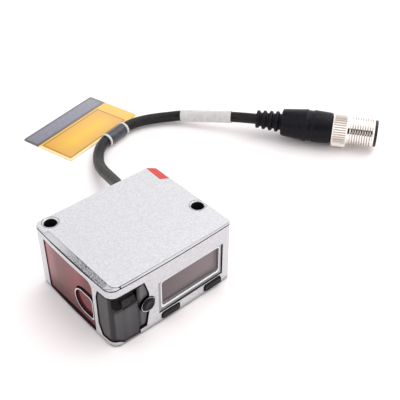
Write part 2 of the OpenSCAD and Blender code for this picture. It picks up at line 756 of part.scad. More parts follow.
module round_button() color([0.05, 0.05, 0.055]) {
    r = round_d / 2;
    back = flange_d + round_proud;
    translate([fx(round_x), fy(-round_proud), round_z]) rotate([-90, 0, 0])
        rotate_extrude() polygon([[0, 0.12], [r - 1.1, 0.1], [r - 0.75, 0], [r - 0.4, 0.08], [r - 0.1, 0.3],
            [r, 0.65], [r, back], [r + 0.7, back], [r + 0.7, back + flange_t], [1, back + flange_t],
            [1, stem_end + round_proud], [0, stem_end + round_proud]]);
}

module round_button_ring() color([0.85, 0.85, 0.87]) {
    translate([fx(round_x), fy(-0.25), round_z]) rotate([-90, 0, 0])
        rotate_extrude() polygon([[round_d / 2 + run, 0.15], [round_d / 2 + run + 0.15, 0],
            [round_ring_d / 2 - 0.15, 0], [round_ring_d / 2, 0.15], [round_ring_d / 2, face_t + 0.25],
            [round_d / 2 + run, face_t + 0.25]]);
}

// Flat button: a cap with a stepped crown, ears that hold it behind the wall, and a stem
module flat_button(x) {
    z0 = flat_z - flat_h / 2;
    from_display(-button_proud + 0.2, flange_d + button_proud - 0.2 + eps)
        translate([x - flat_w / 2, z0]) soft_rect(flat_w, flat_h, 0.9);
    from_display(-button_proud, 0.3) translate([x - flat_w / 2 + 0.2, z0 + 0.2])
        soft_rect(flat_w - 0.4, flat_h - 0.4, 0.7);
    from_display(flange_d, flange_t) translate([x - flat_w / 2 - 0.8, max(z0, floor_t + 0.05)])
        square([flat_w + 1.6, z0 + flat_h - max(z0, floor_t + 0.05)]);
    button_stem(x, flat_z, 0.9);
}
module left_button() color([0.05, 0.05, 0.055]) flat_button(flat_a_x);
module right_button() color([0.05, 0.05, 0.055]) flat_button(flat_b_x);

module tact_switches() color([0.55, 0.55, 0.52]) {
    for (p = [[round_x, round_z], [flat_a_x, flat_z], [flat_b_x, flat_z]]) {
        from_display(display_board_y - switch_h, switch_h)
            translate([p[0] - 1.6, p[1] - 1.3]) square([3.2, 2.6]);
        from_display(display_board_y - switch_h - plunger_h, plunger_h + eps)
            translate(p) circle(0.8);
    }
}

module board_ribbon() color([0.70, 0.45, 0.15]) {
    // A thin flat cable bent from the back of the display board down to the main board
    y0 = fy(display_board_y + board_t);
    y1 = fy(main_y0 + 0.4);
    top = board_z + board_t;
    translate([fx(main_x0 + 7), 0, 0]) rotate([90, 0, 90]) linear_extrude(8) difference() {
        union() {
            translate([y0, 9]) square([0.8, 2]);
            translate([y0, 9.6]) square([y1 - y0 - 1, 0.3]);
            translate([y1 - 1, 8.9]) intersection() { circle(1, $fn = 32); square(1); }
            translate([y1 - 0.3, top]) square([0.3, 9 - top]);
            translate([y1 - 0.5, top]) square([2.5, 0.8]);
        }
        translate([y1 - 1, 8.9]) intersection() { circle(0.7, $fn = 32); translate([0, -0.1]) square(1); }
    }
}

module cable_boot() color([0.09, 0.09, 0.10]) {
    // Rubber grommet with an inner flange and a tapered, grooved boot
    flange = 1.3;
    out = flange + wall_t;
    translate([exit_x, back_y - out, exit_z]) rotate([-90, 0, 0]) rotate_extrude() difference() {
        polygon([[cable_bore, 0], [boot_r + 0.5, 0], [boot_r + 0.5, flange - 0.02],
            [boot_r - 0.05, flange - 0.02], [boot_r - 0.05, out + 0.05], [boot_r + 0.4, out + 0.1],
            [boot_r + 0.2, out + 1.4], [cable_bore + 0.6, out + boot_l], [cable_bore, out + boot_l]]);
        for (i = [0:2]) translate([cable_bore + 0.75, out + 2.4 + i * 1.6]) square([3, 0.6]);
    }
}

function unit(v) = v / norm(v);
function tangent(p, i) = unit(p[min(i + 1, len(p) - 1)] - p[max(i - 1, 0)]);
function side_of(t) = unit(cross(t, [0, 0, 1]));
function ring_points(c, t, r, n) = let (s = side_of(t), u = cross(s, t))
    [for (k = [0:n - 1]) c + r * (cos(360 * k / n) * s + sin(360 * k / n) * u)];

// Tube along a route: one polygon per route point, quads cut into triangles, flat ends
module route_tube(p, r, n) {
    rings = len(p);
    points = [for (i = [0:rings - 1]) each ring_points(p[i], tangent(p, i), r, n)];
    quads = [for (i = [0:rings - 2], k = [0:n - 1])
        [i * n + k, i * n + (k + 1) % n, (i + 1) * n + (k + 1) % n, (i + 1) * n + k]];
    faces = concat(
        [for (q = quads) [q[0], q[1], q[2]]],
        [for (q = quads) [q[0], q[2], q[3]]],
        [[for (k = [n - 1:-1:0]) k]],
        [[for (k = [0:n - 1]) (rings - 1) * n + k]]);
    polyhedron(points, faces, convexity = 8);
}
module cable() color([0.20, 0.20, 0.21]) route_tube(cable_route, cable_r, 10);

// Frame with its X along a straight stretch of the cable from p to q
module along(p, q) {
    d = q - p;
    translate(p) rotate([0, -asin(d[2] / norm(d)), atan2(d[1], d[0])]) children();
}
module tube_x(x0, x1, r0, r1) {
    translate([x0, 0, 0]) rotate([0, 90, 0]) difference() {
        cylinder(r = r1, h = x1 - x0);
        translate([0, 0, -1]) cylinder(r = r0, h = x1 - x0 + 2);
    }
}

module cable_tag() color([0.95, 0.78, 0.15]) {
    wrap_l = tag_len - 2 * (ring_start + ring_w + 0.1);
    along(tag_from, tag_to) {
        z0 = -tag_from[2];
        translate([tag_len / 2 + tag_shift - tag_l / 2, tag_gap, z0]) linear_extrude(tag_t)
            soft_rect(tag_l, tag_w, 0.6);
        // The wrap round the cable, with the fold that runs down to the card
        translate([(tag_len - wrap_l) / 2, 0, 0]) rotate([90, 0, 90]) linear_extrude(wrap_l)
            difference() {
                union() {
                    circle(cable_bore + wrap_t);
                    polygon([[0, 0], [0, z0 + 0.35], [tag_gap + 0.3, z0],
                        [tag_gap + 0.3, z0 + tag_t], [1.75, 1.9]]);
                }
                circle(cable_bore);
            }
    }
}

module tag_rings() color([0.93, 0.93, 0.92])
    along(tag_from, tag_to) for (x = [ring_start, tag_len - ring_start - ring_w])
        tube_x(x, x + ring_w, cable_bore, tag_from[2]);

module marker_sleeve() color([0.95, 0.95, 0.94]) {
    a = cable_route[22];
    b = cable_route[25];
    along(a, b) tube_x(0.3, norm(b - a) - 0.3, cable_bore, cable_bore + 0.35);
}

module plug_frame() { translate(plug_tail) rotate([0, 0, plug_yaw]) children(); }
module spun() { rotate([0, 90, 0]) rotate_extrude() children(); }

// Half profile of the moulded body: four relief ribs, a cone, a groove and the grip's front part
module plug_profile() {
    r = plug_d / 2;
    l = plug_body_l;
    polygon(concat(
        [[0, cable_pocket], [cable_bore, cable_pocket], [cable_bore, 0]],
        [for (i = [0:3]) let (x = i * rib_pitch, top = rib_r + 0.2 * i, low = 2.95 + 0.15 * i)
            each [[top - 0.3, x], [top, x + 0.4], [top, x + 1.1], [top - 0.3, x + 1.5],
                [low, x + 1.7], [low, x + 2.5]]],
        [[5.1, 10.8], [5.6, 11.2], [r - 0.15, 20.2], [r, 20.8], [r, 21.4], [r - 0.3, 21.8],
            [r - 0.3, 23.8], [r, 24.2], [r - 0.3, l - 0.9], [r - 0.65, l], [4.9, l], [4.9, l + 4],
            [0, l + 4]]));
}
module plug_body() color([0.09, 0.09, 0.10]) plug_frame() spun() plug_profile();

module coupling_screw() color([0.80, 0.77, 0.72]) plug_frame() {
    r = knurl_d / 2;
    translate([screw_x0, 0, 0]) rotate([0, 90, 0]) difference() {
        union() {
            linear_extrude(knurl_l) difference() {
                circle(r);
                for (k = [0:knurl_count - 1]) rotate(360 * k / knurl_count)
                    translate([r + 0.1, 0]) circle(0.4, $fn = 16);
            }
            cylinder(r = thread_d / 2, h = knurl_l + thread_l - 0.7);
            translate([0, 0, knurl_l + thread_l - 0.7])
                cylinder(r1 = thread_d / 2, r2 = thread_d / 2 - 0.5, h = 0.7);
        }
        translate([0, 0, -1]) cylinder(r = screw_bore, h = knurl_l + thread_l + 2);
    }
}

module contact_carrier() color([0.07, 0.07, 0.075]) plug_frame() difference() {
    spun() polygon([[0, disc_x], [4.85, disc_x], [4.85, screw_x1 + run], [5.5, screw_x1 + run],
        [5.5, screw_x1 + carrier_l], [4.3, screw_x1 + carrier_l], [4.3, disc_x + disc_l],
        [0, disc_x + disc_l]]);
    // Bores of the pins
    for (k = [0:pin_count - 1]) rotate([45 + 90 * k, 0, 0]) translate([disc_x + 2, 0, pin_circle_r])
        rotate([0, 90, 0]) cylinder(r = pin_r, h = disc_l);
}

module contact_pins() color([0.83, 0.68, 0.38]) plug_frame()
    for (k = [0:pin_count - 1]) rotate([45 + 90 * k, 0, 0]) translate([disc_x + 2, 0, pin_circle_r])
        rotate([0, 90, 0]) {
            cylinder(r = pin_r, h = disc_l + 3.4);
            translate([0, 0, disc_l + 3.4]) cylinder(r1 = pin_r, r2 = pin_r * 0.5, h = 0.5);
        }

housing();
top_cover();
cover_gasket();
accent_inlay();
front_window();
lens_ring();
transmit_lens();
receive_lens();
optics_block();
laser_diode();
image_sensor();
sensor_board();
main_board();
board_chips();
board_screws();
display_board();
display_module();
display_panel();
display_frame();
indicator_cover();
light_guide();
indicator_leds();
round_button();
round_button_ring();
left_button();
right_button();
tact_switches();
board_ribbon();
cable_boot();
cable();
cable_tag();
tag_rings();
marker_sleeve();
plug_body();
coupling_screw();
contact_carrier();
contact_pins();
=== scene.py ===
# %% [markdown]
# A small laser photoelectric sensor lies on a white table, with its short lead, a tag and an M12 plug.
# The solids come from the CAD frame, which fixes every size and place, so this lesson only dresses
# them: edges get their small radii, finishes get their grain, and the soft or finely cut pieces
# (lead, tag, plug, knurl and thread) are worked out as surfaces with numpy.

# %% Load the fixed frame
import json
from math import cos, radians, sin, tau

import bmesh
import bpy
import numpy as np
from mathutils import Matrix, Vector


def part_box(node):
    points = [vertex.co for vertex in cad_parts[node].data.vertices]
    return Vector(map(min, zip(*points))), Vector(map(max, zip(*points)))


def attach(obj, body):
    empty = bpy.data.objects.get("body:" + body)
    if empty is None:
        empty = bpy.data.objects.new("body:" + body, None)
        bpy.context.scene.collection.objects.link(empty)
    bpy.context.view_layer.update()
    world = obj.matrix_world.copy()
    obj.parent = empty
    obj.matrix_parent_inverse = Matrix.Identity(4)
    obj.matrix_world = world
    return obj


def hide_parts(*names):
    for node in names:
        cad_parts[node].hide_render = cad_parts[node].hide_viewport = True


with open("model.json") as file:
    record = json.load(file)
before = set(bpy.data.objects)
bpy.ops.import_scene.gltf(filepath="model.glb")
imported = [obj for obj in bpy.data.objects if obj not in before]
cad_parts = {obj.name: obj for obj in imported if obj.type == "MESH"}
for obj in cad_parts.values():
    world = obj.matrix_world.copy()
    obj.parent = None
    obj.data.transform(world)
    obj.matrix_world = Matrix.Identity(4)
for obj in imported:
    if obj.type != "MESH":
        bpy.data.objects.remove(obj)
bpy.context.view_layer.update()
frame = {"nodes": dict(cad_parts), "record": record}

body_of = {n: b for b, names in frame["record"]["behaviour"]["bodies"].items() for n in names}

# %% [markdown]
# The photograph was taken from above the sensor's front corner with a longish lens. A camera can be
# aimed by hand, but working out its axes from three angles keeps the picture repeatable: azimuth
# turns round the object, elevation lifts the eye, and a small roll levels the horizon as in the photo.

# %% Camera
azimuth, elevation, roll = radians(-41.89), radians(38.74), radians(0.434)
eye = np.array([-0.100165, -0.143268, 0.173598])
ahead = np.array([-sin(azimuth) * cos(elevation), cos(azimuth) * cos(elevation), -sin(elevation)])
level = np.array([cos(azimuth), sin(azimuth), 0.0])
upward = np.cross(level, ahead)
right = level * cos(roll) + upward * sin(roll)
upward = upward * cos(roll) - level * sin(roll)

camera = bpy.data.objects.new("camera", bpy.data.cameras.new("camera"))
bpy.context.scene.collection.objects.link(camera)
camera.data.lens, camera.data.sensor_width = 65.31, 36.0
camera.data.clip_start, camera.data.clip_end = 0.01, 50.0
placing = np.eye(4)
placing[:3, 0], placing[:3, 1], placing[:3, 2], placing[:3, 3] = right, upward, -ahead, eye
camera.matrix_world = Matrix(placing.tolist())
bpy.context.scene.camera = camera
print("camera at", [round(v, 4) for v in camera.matrix_world.translation])

# %% [markdown]
# Every new piece starts as a grid of points. Rows follow the piece along its length and columns go
# round it, so neighbouring grid points make the faces. A grid could be bridged face by face, but
# index arrays give all the faces at once. The faces are then turned so that they look outwards.

# %% Grid of points to mesh
def read_all(collection, key, width=1, kind=float):
    """One value of every element as an array, with width numbers to a row."""
    values = np.empty(len(collection) * width, dtype=kind)
    collection.foreach_get(key, values)
    return values.reshape(-1, width) if width > 1 else values


def new_mesh(name, verts, faces, uvs=None):
    """A smooth mesh object from arrays: verts (n, 3), faces as lists of corners, uvs (n, 2) per vertex."""
    mesh = bpy.data.meshes.new(name)
    mesh.from_pydata(np.asarray(verts).tolist(), [], faces)
    if uvs is not None:
        layer = mesh.uv_layers.new(name="UVMap")
        corner = read_all(mesh.loops, "vertex_index", kind=np.int32)
        layer.data.foreach_set("uv", np.asarray(uvs, dtype=np.float32)[corner].ravel())
    mesh.polygons.foreach_set("use_smooth", np.ones(len(mesh.polygons), dtype=bool))
    mesh.update()
    piece = bpy.data.objects.new(name, mesh)
    bpy.context.scene.collection.objects.link(piece)
    return piece


def outward(piece):
    """Turns the faces of a closed skin so that they all look outwards."""
    work = bmesh.new()
    work.from_mesh(piece.data)
    bmesh.ops.recalc_face_normals(work, faces=work.faces)
    work.to_mesh(piece.data)
    work.free()
    return piece


def skin(name, grid, ring=False, uvs=None):
    """Closed skin over grid (rows, columns, 3): quad (i, j) joins points (i, j), (i, j+1), (i+1, j+1)
    and (i+1, j), where j runs round. The ends are closed by flat caps, or joined if ring is True."""
    rows, cols = grid.shape[:2]
    i = np.arange(rows if ring else rows - 1)[:, None]
    j = np.arange(cols)[None, :]
    after_i, after_j = (i + 1) % rows, (j + 1) % cols
    quads = np.stack([i * cols + j, i * cols + after_j,
                      after_i * cols + after_j, after_i * cols + j], -1)
    faces = quads.reshape(-1, 4).tolist()
    if not ring:
        faces += [list(range(cols))[::-1], list(range((rows - 1) * cols, rows * cols))]
    flat_uvs = None if uvs is None else uvs.reshape(-1, 2)
    return outward(new_mesh(name, grid.reshape(-1, 3), faces, flat_uvs))


print("made read_all, new_mesh, outward and skin")

# %% [markdown]
# The lead is black PVC cable, 4.5 mm thick, and the photograph shows it from end to end: it leaves
# the back of the housing, sinks to the table, bends past the tag and rises again into the plug. The
# CAD route has a corner at each point. A cubic through the same points bends as a real cable does
# and still passes through every one of them.

# %% Route of the lead
route = 1e-3 * np.array([
    [17.6, 17.4, 11.5], [17.6, 20.5, 11.5], [17.6, 25, 11.5], [17.6, 28.5, 11.5], [18.3, 33, 10.6],
    [19.9, 37.5, 9.2], [21.2, 42, 7.8], [22.5, 46.8, 6.4], [23.8, 51.5, 5.1], [25.4, 56, 4],
    [27.6, 60.3, 3.2], [30.4, 64.3, 2.9], [34, 67.9, 2.9], [38.4, 70.4, 2.9], [42.4, 71.4, 2.9],
    [46.4, 72.4, 2.9], [50.4, 73.4, 2.9], [54.6, 73.7, 2.9], [58.8, 73, 2.9], [62.8, 71.6, 2.9],
    [66.8, 69.5, 3], [70.6, 67, 3.2], [74.2, 64.1, 3.6], [78.6, 57.9, 4.5], [83, 51.7, 5.4],
    [87.4, 45.5, 6.3], [90.4, 40.7, 6.9], [93, 36.5, 7.3], [94.8, 34, 7.3]])
cable_r = 2.25e-3


def curve_through(points, steps=6):
    """Catmull-Rom curve: between points k and k+1, at t from 0 to 1, it is
    h0 p(k) + h1 m(k) + h2 p(k+1) + h3 m(k+1), where m is half the chord of the two neighbours
    and the h are the four Hermite cubics of t."""
    ends = np.vstack([2 * points[:1] - points[1:2], points, 2 * points[-1:] - points[-2:-1]])
    slope = (ends[2:] - ends[:-2]) / 2
    t = (np.arange(steps) / steps)[None, :, None]
    a, b, ma, mb = points[:-1, None], points[1:, None], slope[:-1, None], slope[1:, None]
    between = ((2 * t**3 - 3 * t**2 + 1) * a + (t**3 - 2 * t**2 + t) * ma
               + (3 * t**2 - 2 * t**3) * b + (t**3 - t**2) * mb)
    return np.vstack([between.reshape(-1, 3), points[-1:]])


lead_path = curve_through(route)

# %% [markdown]
# The jacket is round all along, so the lead is a circle carried along that curve. A curve object
# with a bevel would do it too, but a mesh gets a map of its own, in millimetres along the lead and
# round it, which the jacket's finish reads later.

# %% Tube along a path
def frames_along(path):
    """Tangent, side and up of a path that is never upright: side = Z x tangent, up = tangent x side."""
    tangent = np.gradient(path, axis=0)
    tangent /= np.linalg.norm(tangent, axis=1, keepdims=True)
    side = np.cross([0, 0, 1.0], tangent)
    side /= np.linalg.norm(side, axis=1, keepdims=True)
    return tangent, side, np.cross(tangent, side)


def tube(name, path, radius, columns=28):
    """P(s, a) = path(s) + radius (cos a side(s) + sin a up(s)); the UV map is length and arc in mm."""
    _, side, up = frames_along(path)
    a = np.arange(columns) * tau / columns
    grid = path[:, None] + radius * (np.cos(a)[None, :, None] * side[:, None]
                                     + np.sin(a)[None, :, None] * up[:, None])
    run = np.concatenate([[0], np.cumsum(np.linalg.norm(np.diff(path, axis=0), axis=1))])
    uvs = np.stack(np.broadcast_arrays(1000 * run[:, None], 1000 * radius * a[None, :]), -1)
    return skin(name, grid, uvs=uvs)


lead = tube("lead", lead_path, cable_r)
print("lead faces", len(lead.data.polygons))

# %% [markdown]
# The ground is pure white, with soft, slightly pink shadows on the window's side only: a light tent
# with one broad lamp, high on the side away from the window. A sun with a wide angle gives the soft
# shadow, and the white sky does the rest. Both together overexpose the floor, so it clips to white
# right up to the lit side, and its warm tint shows only in the shadows.

# %% Floor and lamp
half_side, drop = 6.0, -2e-5  # the sheet lies a hair under the sensor's base
around_floor = ((-1, -1), (1, -1), (1, 1), (-1, 1))
floor = new_mesh("floor", [[half_side * x, half_side * y, drop] for x, y in around_floor], [[0, 1, 2, 3]])

lamp = bpy.data.objects.new("lamp", bpy.data.lights.new("lamp", "SUN"))
lamp.data.energy, lamp.data.angle = 1.15, radians(60)
bpy.context.scene.collection.objects.link(lamp)
lamp_from = np.array([0.46, -0.05, 0.85])
lamp_from /= np.linalg.norm(lamp_from)
across = np.cross([0, 0, 1.0], lamp_from)
across /= np.linalg.norm(across)
turning = np.eye(4)
turning[:3, 0], turning[:3, 1], turning[:3, 2] = across, np.cross(lamp_from, across), lamp_from
lamp.matrix_world = Matrix(turning.tolist())
print("lamp elevation %.0f deg" % np.degrees(np.arcsin(lamp_from[2])))

# %% [markdown]
# Shiny pieces show what surrounds them, so a plain white sky makes chrome look like paper. Soft dark
# patches stand for what a studio has: the camera, its stand below it, the dark ceiling high behind the
# object and a slightly dimmer zenith. Each patch is a smooth step of the angle to one direction.

# %% Sky
sky = bpy.data.worlds.new("sky")
bpy.context.scene.world = sky
sky.use_nodes = True
sky_nodes, sky_links = sky.node_tree.nodes, sky.node_tree.links
background = sky_nodes["Background"]
look = sky_nodes.new("ShaderNodeTexCoord")


def patch(direction, inner, outer, shade, before):
    """Multiplies the sky by shade within inner degrees of direction, fading out to 1 at outer."""
    d = np.array(direction) / np.linalg.norm(direction)
    dot = sky_nodes.new("ShaderNodeVectorMath")
    dot.operation = "DOT_PRODUCT"
    dot.inputs[1].default_value = d.tolist()
    sky_links.new(look.outputs["Generated"], dot.inputs[0])
    step = sky_nodes.new("ShaderNodeMapRange")
    step.interpolation_type = "SMOOTHERSTEP"
    for socket, value in (("From Min", cos(radians(outer))), ("From Max", cos(radians(inner))),
                          ("To Min", 1.0), ("To Max", shade)):
        step.inputs[socket].default_value = value
    sky_links.new(dot.outputs["Value"], step.inputs["Value"])
    times = sky_nodes.new("ShaderNodeMath")
    times.operation = "MULTIPLY"
    sky_links.new(step.outputs["Result"], times.inputs[0])
    if before is None:
        times.inputs[1].default_value = 1.0
    else:
        sky_links.new(before, times.inputs[1])
    return times.outputs[0]


dark_patches = {  # direction, inner and outer angle in degrees, brightness within the inner one
    "zenith": ([0, 0, 1], 0, 75, 0.88), "camera": ([-0.60, -0.54, 0.59], 8, 17, 0.03),
    "stand": ([-0.781, -0.562, 0.272], 12, 17, 0.02), "ceiling": ([0.10, 0.50, 0.86], 8, 24, 0.25)}
sky_level = 1.245
bright = None
for direction, inner, outer, shade in dark_patches.values():
    bright = patch(direction, inner, outer, shade, bright)
level_up = sky_nodes.new("ShaderNodeMath")
level_up.operation = "MULTIPLY"
level_up.inputs[1].default_value = sky_level
sky_links.new(bright, level_up.inputs[0])
sky_links.new(level_up.outputs[0], background.inputs["Strength"])
background.inputs["Color"].default_value = (1.0, 0.995, 1.0, 1.0)
bpy.context.scene.view_settings.view_transform = "Standard"
print("sky patches", list(dark_patches), "in", len(sky_nodes), "nodes")

# %% [markdown]
# A finish here is one Principled shader whose own sockets hold its plain values. What varies over
# the surface, such as grain, dust and wear, comes from noise in the piece's own coordinates, so it
# stays on the piece in every view. Small helpers keep each finish to a few lines.

# %% Helpers for finishes
def finish(name, color, rough, metal=0.0, edge=0.0, **sockets):
    """A material with one Principled shader: colour, roughness, metal and further sockets by name.
    With edge, in metres, the shading normal is averaged over that radius, which rounds knife edges."""
    material = bpy.data.materials.new(name)
    material.use_nodes = True
    shader = material.node_tree.nodes["Principled BSDF"]
    shader.inputs["Base Color"].default_value = (*color, 1.0)
    shader.inputs["Roughness"].default_value = rough
    shader.inputs["Metallic"].default_value = metal
    for socket, value in sockets.items():
        shader.inputs[socket.replace("_", " ")].default_value = value
    material.diffuse_color = (*color, 1.0)
    if edge > 0:
        rounded = material.node_tree.nodes.new("ShaderNodeBevel")
        rounded.samples = 6
        rounded.inputs["Radius"].default_value = edge
        for socket in ("Normal", "Coat Normal"):
            material.node_tree.links.new(rounded.outputs["Normal"], shader.inputs[socket])
    return material


def add(material, kind, **values):
    """A node of that kind; values are its settings, or its input sockets by name."""
    made = material.node_tree.nodes.new("ShaderNode" + kind)
    for key, value in values.items():
        if hasattr(made, key):
            setattr(made, key, value)
        else:
            made.inputs[key.replace("_", " ")].default_value = value
    return made


def link(material, source, target):
    """Wires an output socket to an input socket."""
    material.node_tree.links.new(source, target)


def shader_of(material):
    """The finish's one shader."""
    return material.node_tree.nodes["Principled BSDF"]


def color_from(material, color):
    """The shader takes its colour from that socket."""
    link(material, color, shader_of(material).inputs["Base Color"])


print("made finish, add, link, shader_of and color_from")

# %% [markdown]
# What varies over a piece starts from a place on it: its own coordinates in metres, or its map in
# millimetres where a pattern follows the surface. A ramp turns such a number into a colour, and a
# spread turns one range of numbers into another.

# %% Places, ramps and spreads
def place_of(material, uv=False):
    """The piece's own coordinates in metres, or its UV map in mm."""
    return add(material, "TexCoord").outputs["UV" if uv else "Object"]


def coordinate(material, axis, uv=False):
    """One of those coordinates: 0 is x, 1 is y and 2 is z."""
    parts = add(material, "SeparateXYZ")
    link(material, place_of(material, uv), parts.inputs[0])
    return parts.outputs[axis]


def ramp_of(material, factor, stops):
    """Colour read off a row of (position, colour) stops."""
    ramp = add(material, "ValToRGB")
    for _ in stops[2:]:
        ramp.color_ramp.elements.new(0.5)
    for element, (position, color) in zip(ramp.color_ramp.elements, stops):
        element.position, element.color = position, (*color, 1.0)
    link(material, factor, ramp.inputs["Fac"])
    return ramp.outputs["Color"]


def spread_of(material, value, start, stop, smooth=False, low=0.0, high=1.0):
    """Runs from low, where a value is start, to high, where it is stop, straight or eased."""
    spread = add(material, "MapRange", From_Min=start, From_Max=stop, To_Min=low, To_Max=high)
    spread.interpolation_type = "SMOOTHSTEP" if smooth else "LINEAR"
    link(material, value, spread.inputs["Value"])
    return spread.outputs["Result"]


print("made place_of, coordinate, ramp_of and spread_of")

# %% [markdown]
# No painted, moulded or plated face is perfectly even. Noise is cheap and has no seams, and three
# uses of it cover every piece here: it can move the colour, the roughness or the height.

# %% Noise in a finish
def noise_of(material, size, detail=3.0, uv=False, stretch=(1, 1, 1)):
    """Noise whose blobs are about size across; stretch squeezes it along an axis."""
    mapping = add(material, "Mapping")
    mapping.inputs["Scale"].default_value = stretch
    link(material, place_of(material, uv), mapping.inputs["Vector"])
    noise = add(material, "TexNoise", Scale=1.0 / size, Detail=detail, Roughness=0.6)
    link(material, mapping.outputs[0], noise.inputs["Vector"])
    return noise.outputs["Fac"]


def mottle(material, size, dark, light, low=0.35, high=0.65, detail=3.0, uv=False, stretch=(1, 1, 1)):
    """Colour that wanders between dark and light in blobs about size across."""
    blobs = noise_of(material, size, detail, uv, stretch)
    wandering = ramp_of(material, blobs, [(low, dark), (high, light)])
    color_from(material, wandering)
    return wandering


def uneven(material, size, low, high, uv=False, stretch=(1, 1, 1)):
    """Roughness that wanders between low and high, which noise of 0.3 and 0.7 stand for."""
    blobs = noise_of(material, size, 4.0, uv, stretch)
    roughness = spread_of(material, blobs, 0.3, 0.7, low=low, high=high)
    link(material, roughness, shader_of(material).inputs["Roughness"])


def grain(material, size, depth, detail=3.0, uv=False, stretch=(1, 1, 1)):
    """Bumps about size across and depth high, both in metres, on top of any rounded edges."""
    bump = add(material, "Bump", Strength=0.6, Distance=depth)
    before = shader_of(material).inputs["Normal"].links
    if before:
        link(material, before[0].from_socket, bump.inputs["Normal"])
    link(material, noise_of(material, size, detail, uv, stretch), bump.inputs["Height"])
    link(material, bump.outputs["Normal"], shader_of(material).inputs["Normal"])


print("made noise_of, mottle, uneven and grain")

# %% [markdown]
# Some finishes change at a known place: a shaded foot, an inked field, a groove. A mask is a number
# from 0 to 1 over the piece, and a colour is mixed by it. Cutting the mesh at each such line would
# work too, but a mask can have a soft edge and leaves the shape alone.

# %% Masks and mixes
def blend_along(material, axis, start, stop, smooth=True):
    """0 at start and 1 at stop along a coordinate axis, in metres."""
    return spread_of(material, coordinate(material, axis), start, stop, smooth)


def mix_colors(material, factor, first, second):
    """Mixes two colours, given as values or as sockets, by a factor socket."""
    mixed = add(material, "Mix")
    mixed.data_type = "RGBA"
    link(material, factor, mixed.inputs["Factor"])
    for socket, color in ((mixed.inputs[6], first), (mixed.inputs[7], second)):
        if isinstance(color, tuple):
            socket.default_value = (*color, 1.0)
        else:
            link(material, color, socket)
    return mixed.outputs[2]


def both(material, first, second, operation="MULTIPLY"):
    """Product of two masks, 1 only where both are. With MAXIMUM it is 1 where either is."""
    mask = add(material, "Math", operation=operation)
    link(material, first, mask.inputs[0])
    link(material, second, mask.inputs[1])
    return mask.outputs[0]


def inside(material, axis, low, high, soft, uv=False):
    """1 where a coordinate lies between low and high, with edges soft wide: mm on a map, else metres."""
    value = coordinate(material, axis, uv)
    return both(material, spread_of(material, value, low - soft / 2, low + soft / 2),
                spread_of(material, value, high + soft / 2, high - soft / 2))


print("made blend_along, mix_colors, both and inside")

# %% [markdown]
# The table is covered with matt white paper. It has no gloss at all, or a bright haze would lie
# behind the object, and its slightly warm colour shows only where the light is weak.

# %% Floor finish
paper = finish("studio_ground", (0.95, 0.905, 0.905), 0.9, Specular_IOR_Level=0.0)
floor.data.materials.append(paper)
print("floor dressed as", paper.name)

# %% [markdown]
# A curved wall of a solid is a row of narrow flat strips, while its true faces are wide. Smooth
# shading has to run over the strips and stop at the true edges. An angle alone can't tell them
# apart where a wide face meets another at a few degrees, so the width of the faces decides as well.

# %% Creases
slight_turn = 3  # degrees, enough for a crease between two wide faces


def mark_creases(mesh, crease, wide):
    """An edge is a crease where its two faces turn by more than crease degrees, or by more than a
    slight turn where both are wider than wide metres, width being twice the area over the outline."""
    faces = len(mesh.polygons)
    edge_of_loop = read_all(mesh.loops, "edge_index", kind=np.int32)
    normals, areas = read_all(mesh.polygons, "normal", 3), read_all(mesh.polygons, "area")
    totals = read_all(mesh.polygons, "loop_total", kind=np.int32)
    ends, points = read_all(mesh.edges, "vertices", 2, np.int32), read_all(mesh.vertices, "co", 3)
    lengths = np.linalg.norm(points[ends[:, 0]] - points[ends[:, 1]], axis=1)
    face_of_loop = np.repeat(np.arange(faces), totals)
    width = 2 * areas / np.bincount(face_of_loop, lengths[edge_of_loop], faces)
    order = np.argsort(edge_of_loop, kind="stable")
    first, second = face_of_loop[order[0::2]], face_of_loop[order[1::2]]
    turned_by = np.degrees(np.arccos(np.clip((normals[first] * normals[second]).sum(1), -1, 1)))
    both_wide = np.minimum(width[first], width[second]) > wide
    sharp = (turned_by > crease) | ((turned_by > slight_turn) & both_wide)
    mesh.edges.foreach_set("use_edge_sharp", sharp)
    return int(sharp.sum())


print("creases start at a turn of", slight_turn, "degrees")

# %% [markdown]
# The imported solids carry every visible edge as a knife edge, while a cast, painted or moulded edge
# has a small radius that catches a thread of light. Cutting a true radius of 0.15 mm into a casting
# with this many pockets breaks at its narrow corners, so the solid stays exact, its doubles are
# merged so that curved walls shade smoothly, and the finish rounds the light at the edges.

# %% Skin of a solid
merge_within, flat_within = 2e-6, radians(0.15)


def growth_of(piece, node):
    """How far the finished skin stands out of the node's box, in mm."""
    seen = piece.evaluated_get(bpy.context.evaluated_depsgraph_get())
    corners = np.array([v[:] for v in seen.bound_box])
    low, high = (np.array(c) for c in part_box(node))
    return 1000 * float(max((low - corners.min(0)).max(), (corners.max(0) - high).max()))


def skin_of(node, material, crease=30, wide=0.0009):
    """Stands for a CAD node: its own faces as one merged skin, smooth but for its creases."""
    work = bmesh.new()
    work.from_mesh(frame["nodes"][node].data)
    bmesh.ops.remove_doubles(work, verts=work.verts, dist=merge_within)
    bmesh.ops.dissolve_limit(work, angle_limit=flat_within, verts=work.verts, edges=work.edges)
    mesh = bpy.data.meshes.new(node + "_skin")
    work.to_mesh(mesh)
    work.free()
    mesh.materials.clear()
    mesh.materials.append(material)
    mesh.polygons.foreach_set("material_index", np.zeros(len(mesh.polygons), dtype=np.int32))
    mesh.polygons.foreach_set("use_smooth", np.ones(len(mesh.polygons), dtype=bool))
    creases = mark_creases(mesh, crease, wide)
    piece = bpy.data.objects.new(node + "_skin", mesh)
    bpy.context.scene.collection.objects.link(piece)
    weighting = piece.modifiers.new("large faces stay flat", "WEIGHTED_NORMAL")
    weighting.keep_sharp = True
    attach(piece, body_of[node])
    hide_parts(node)
    print("%s: %d faces, %d creases, %.3f mm out"
          % (node, len(mesh.polygons), creases, growth_of(piece, node)))
    return piece


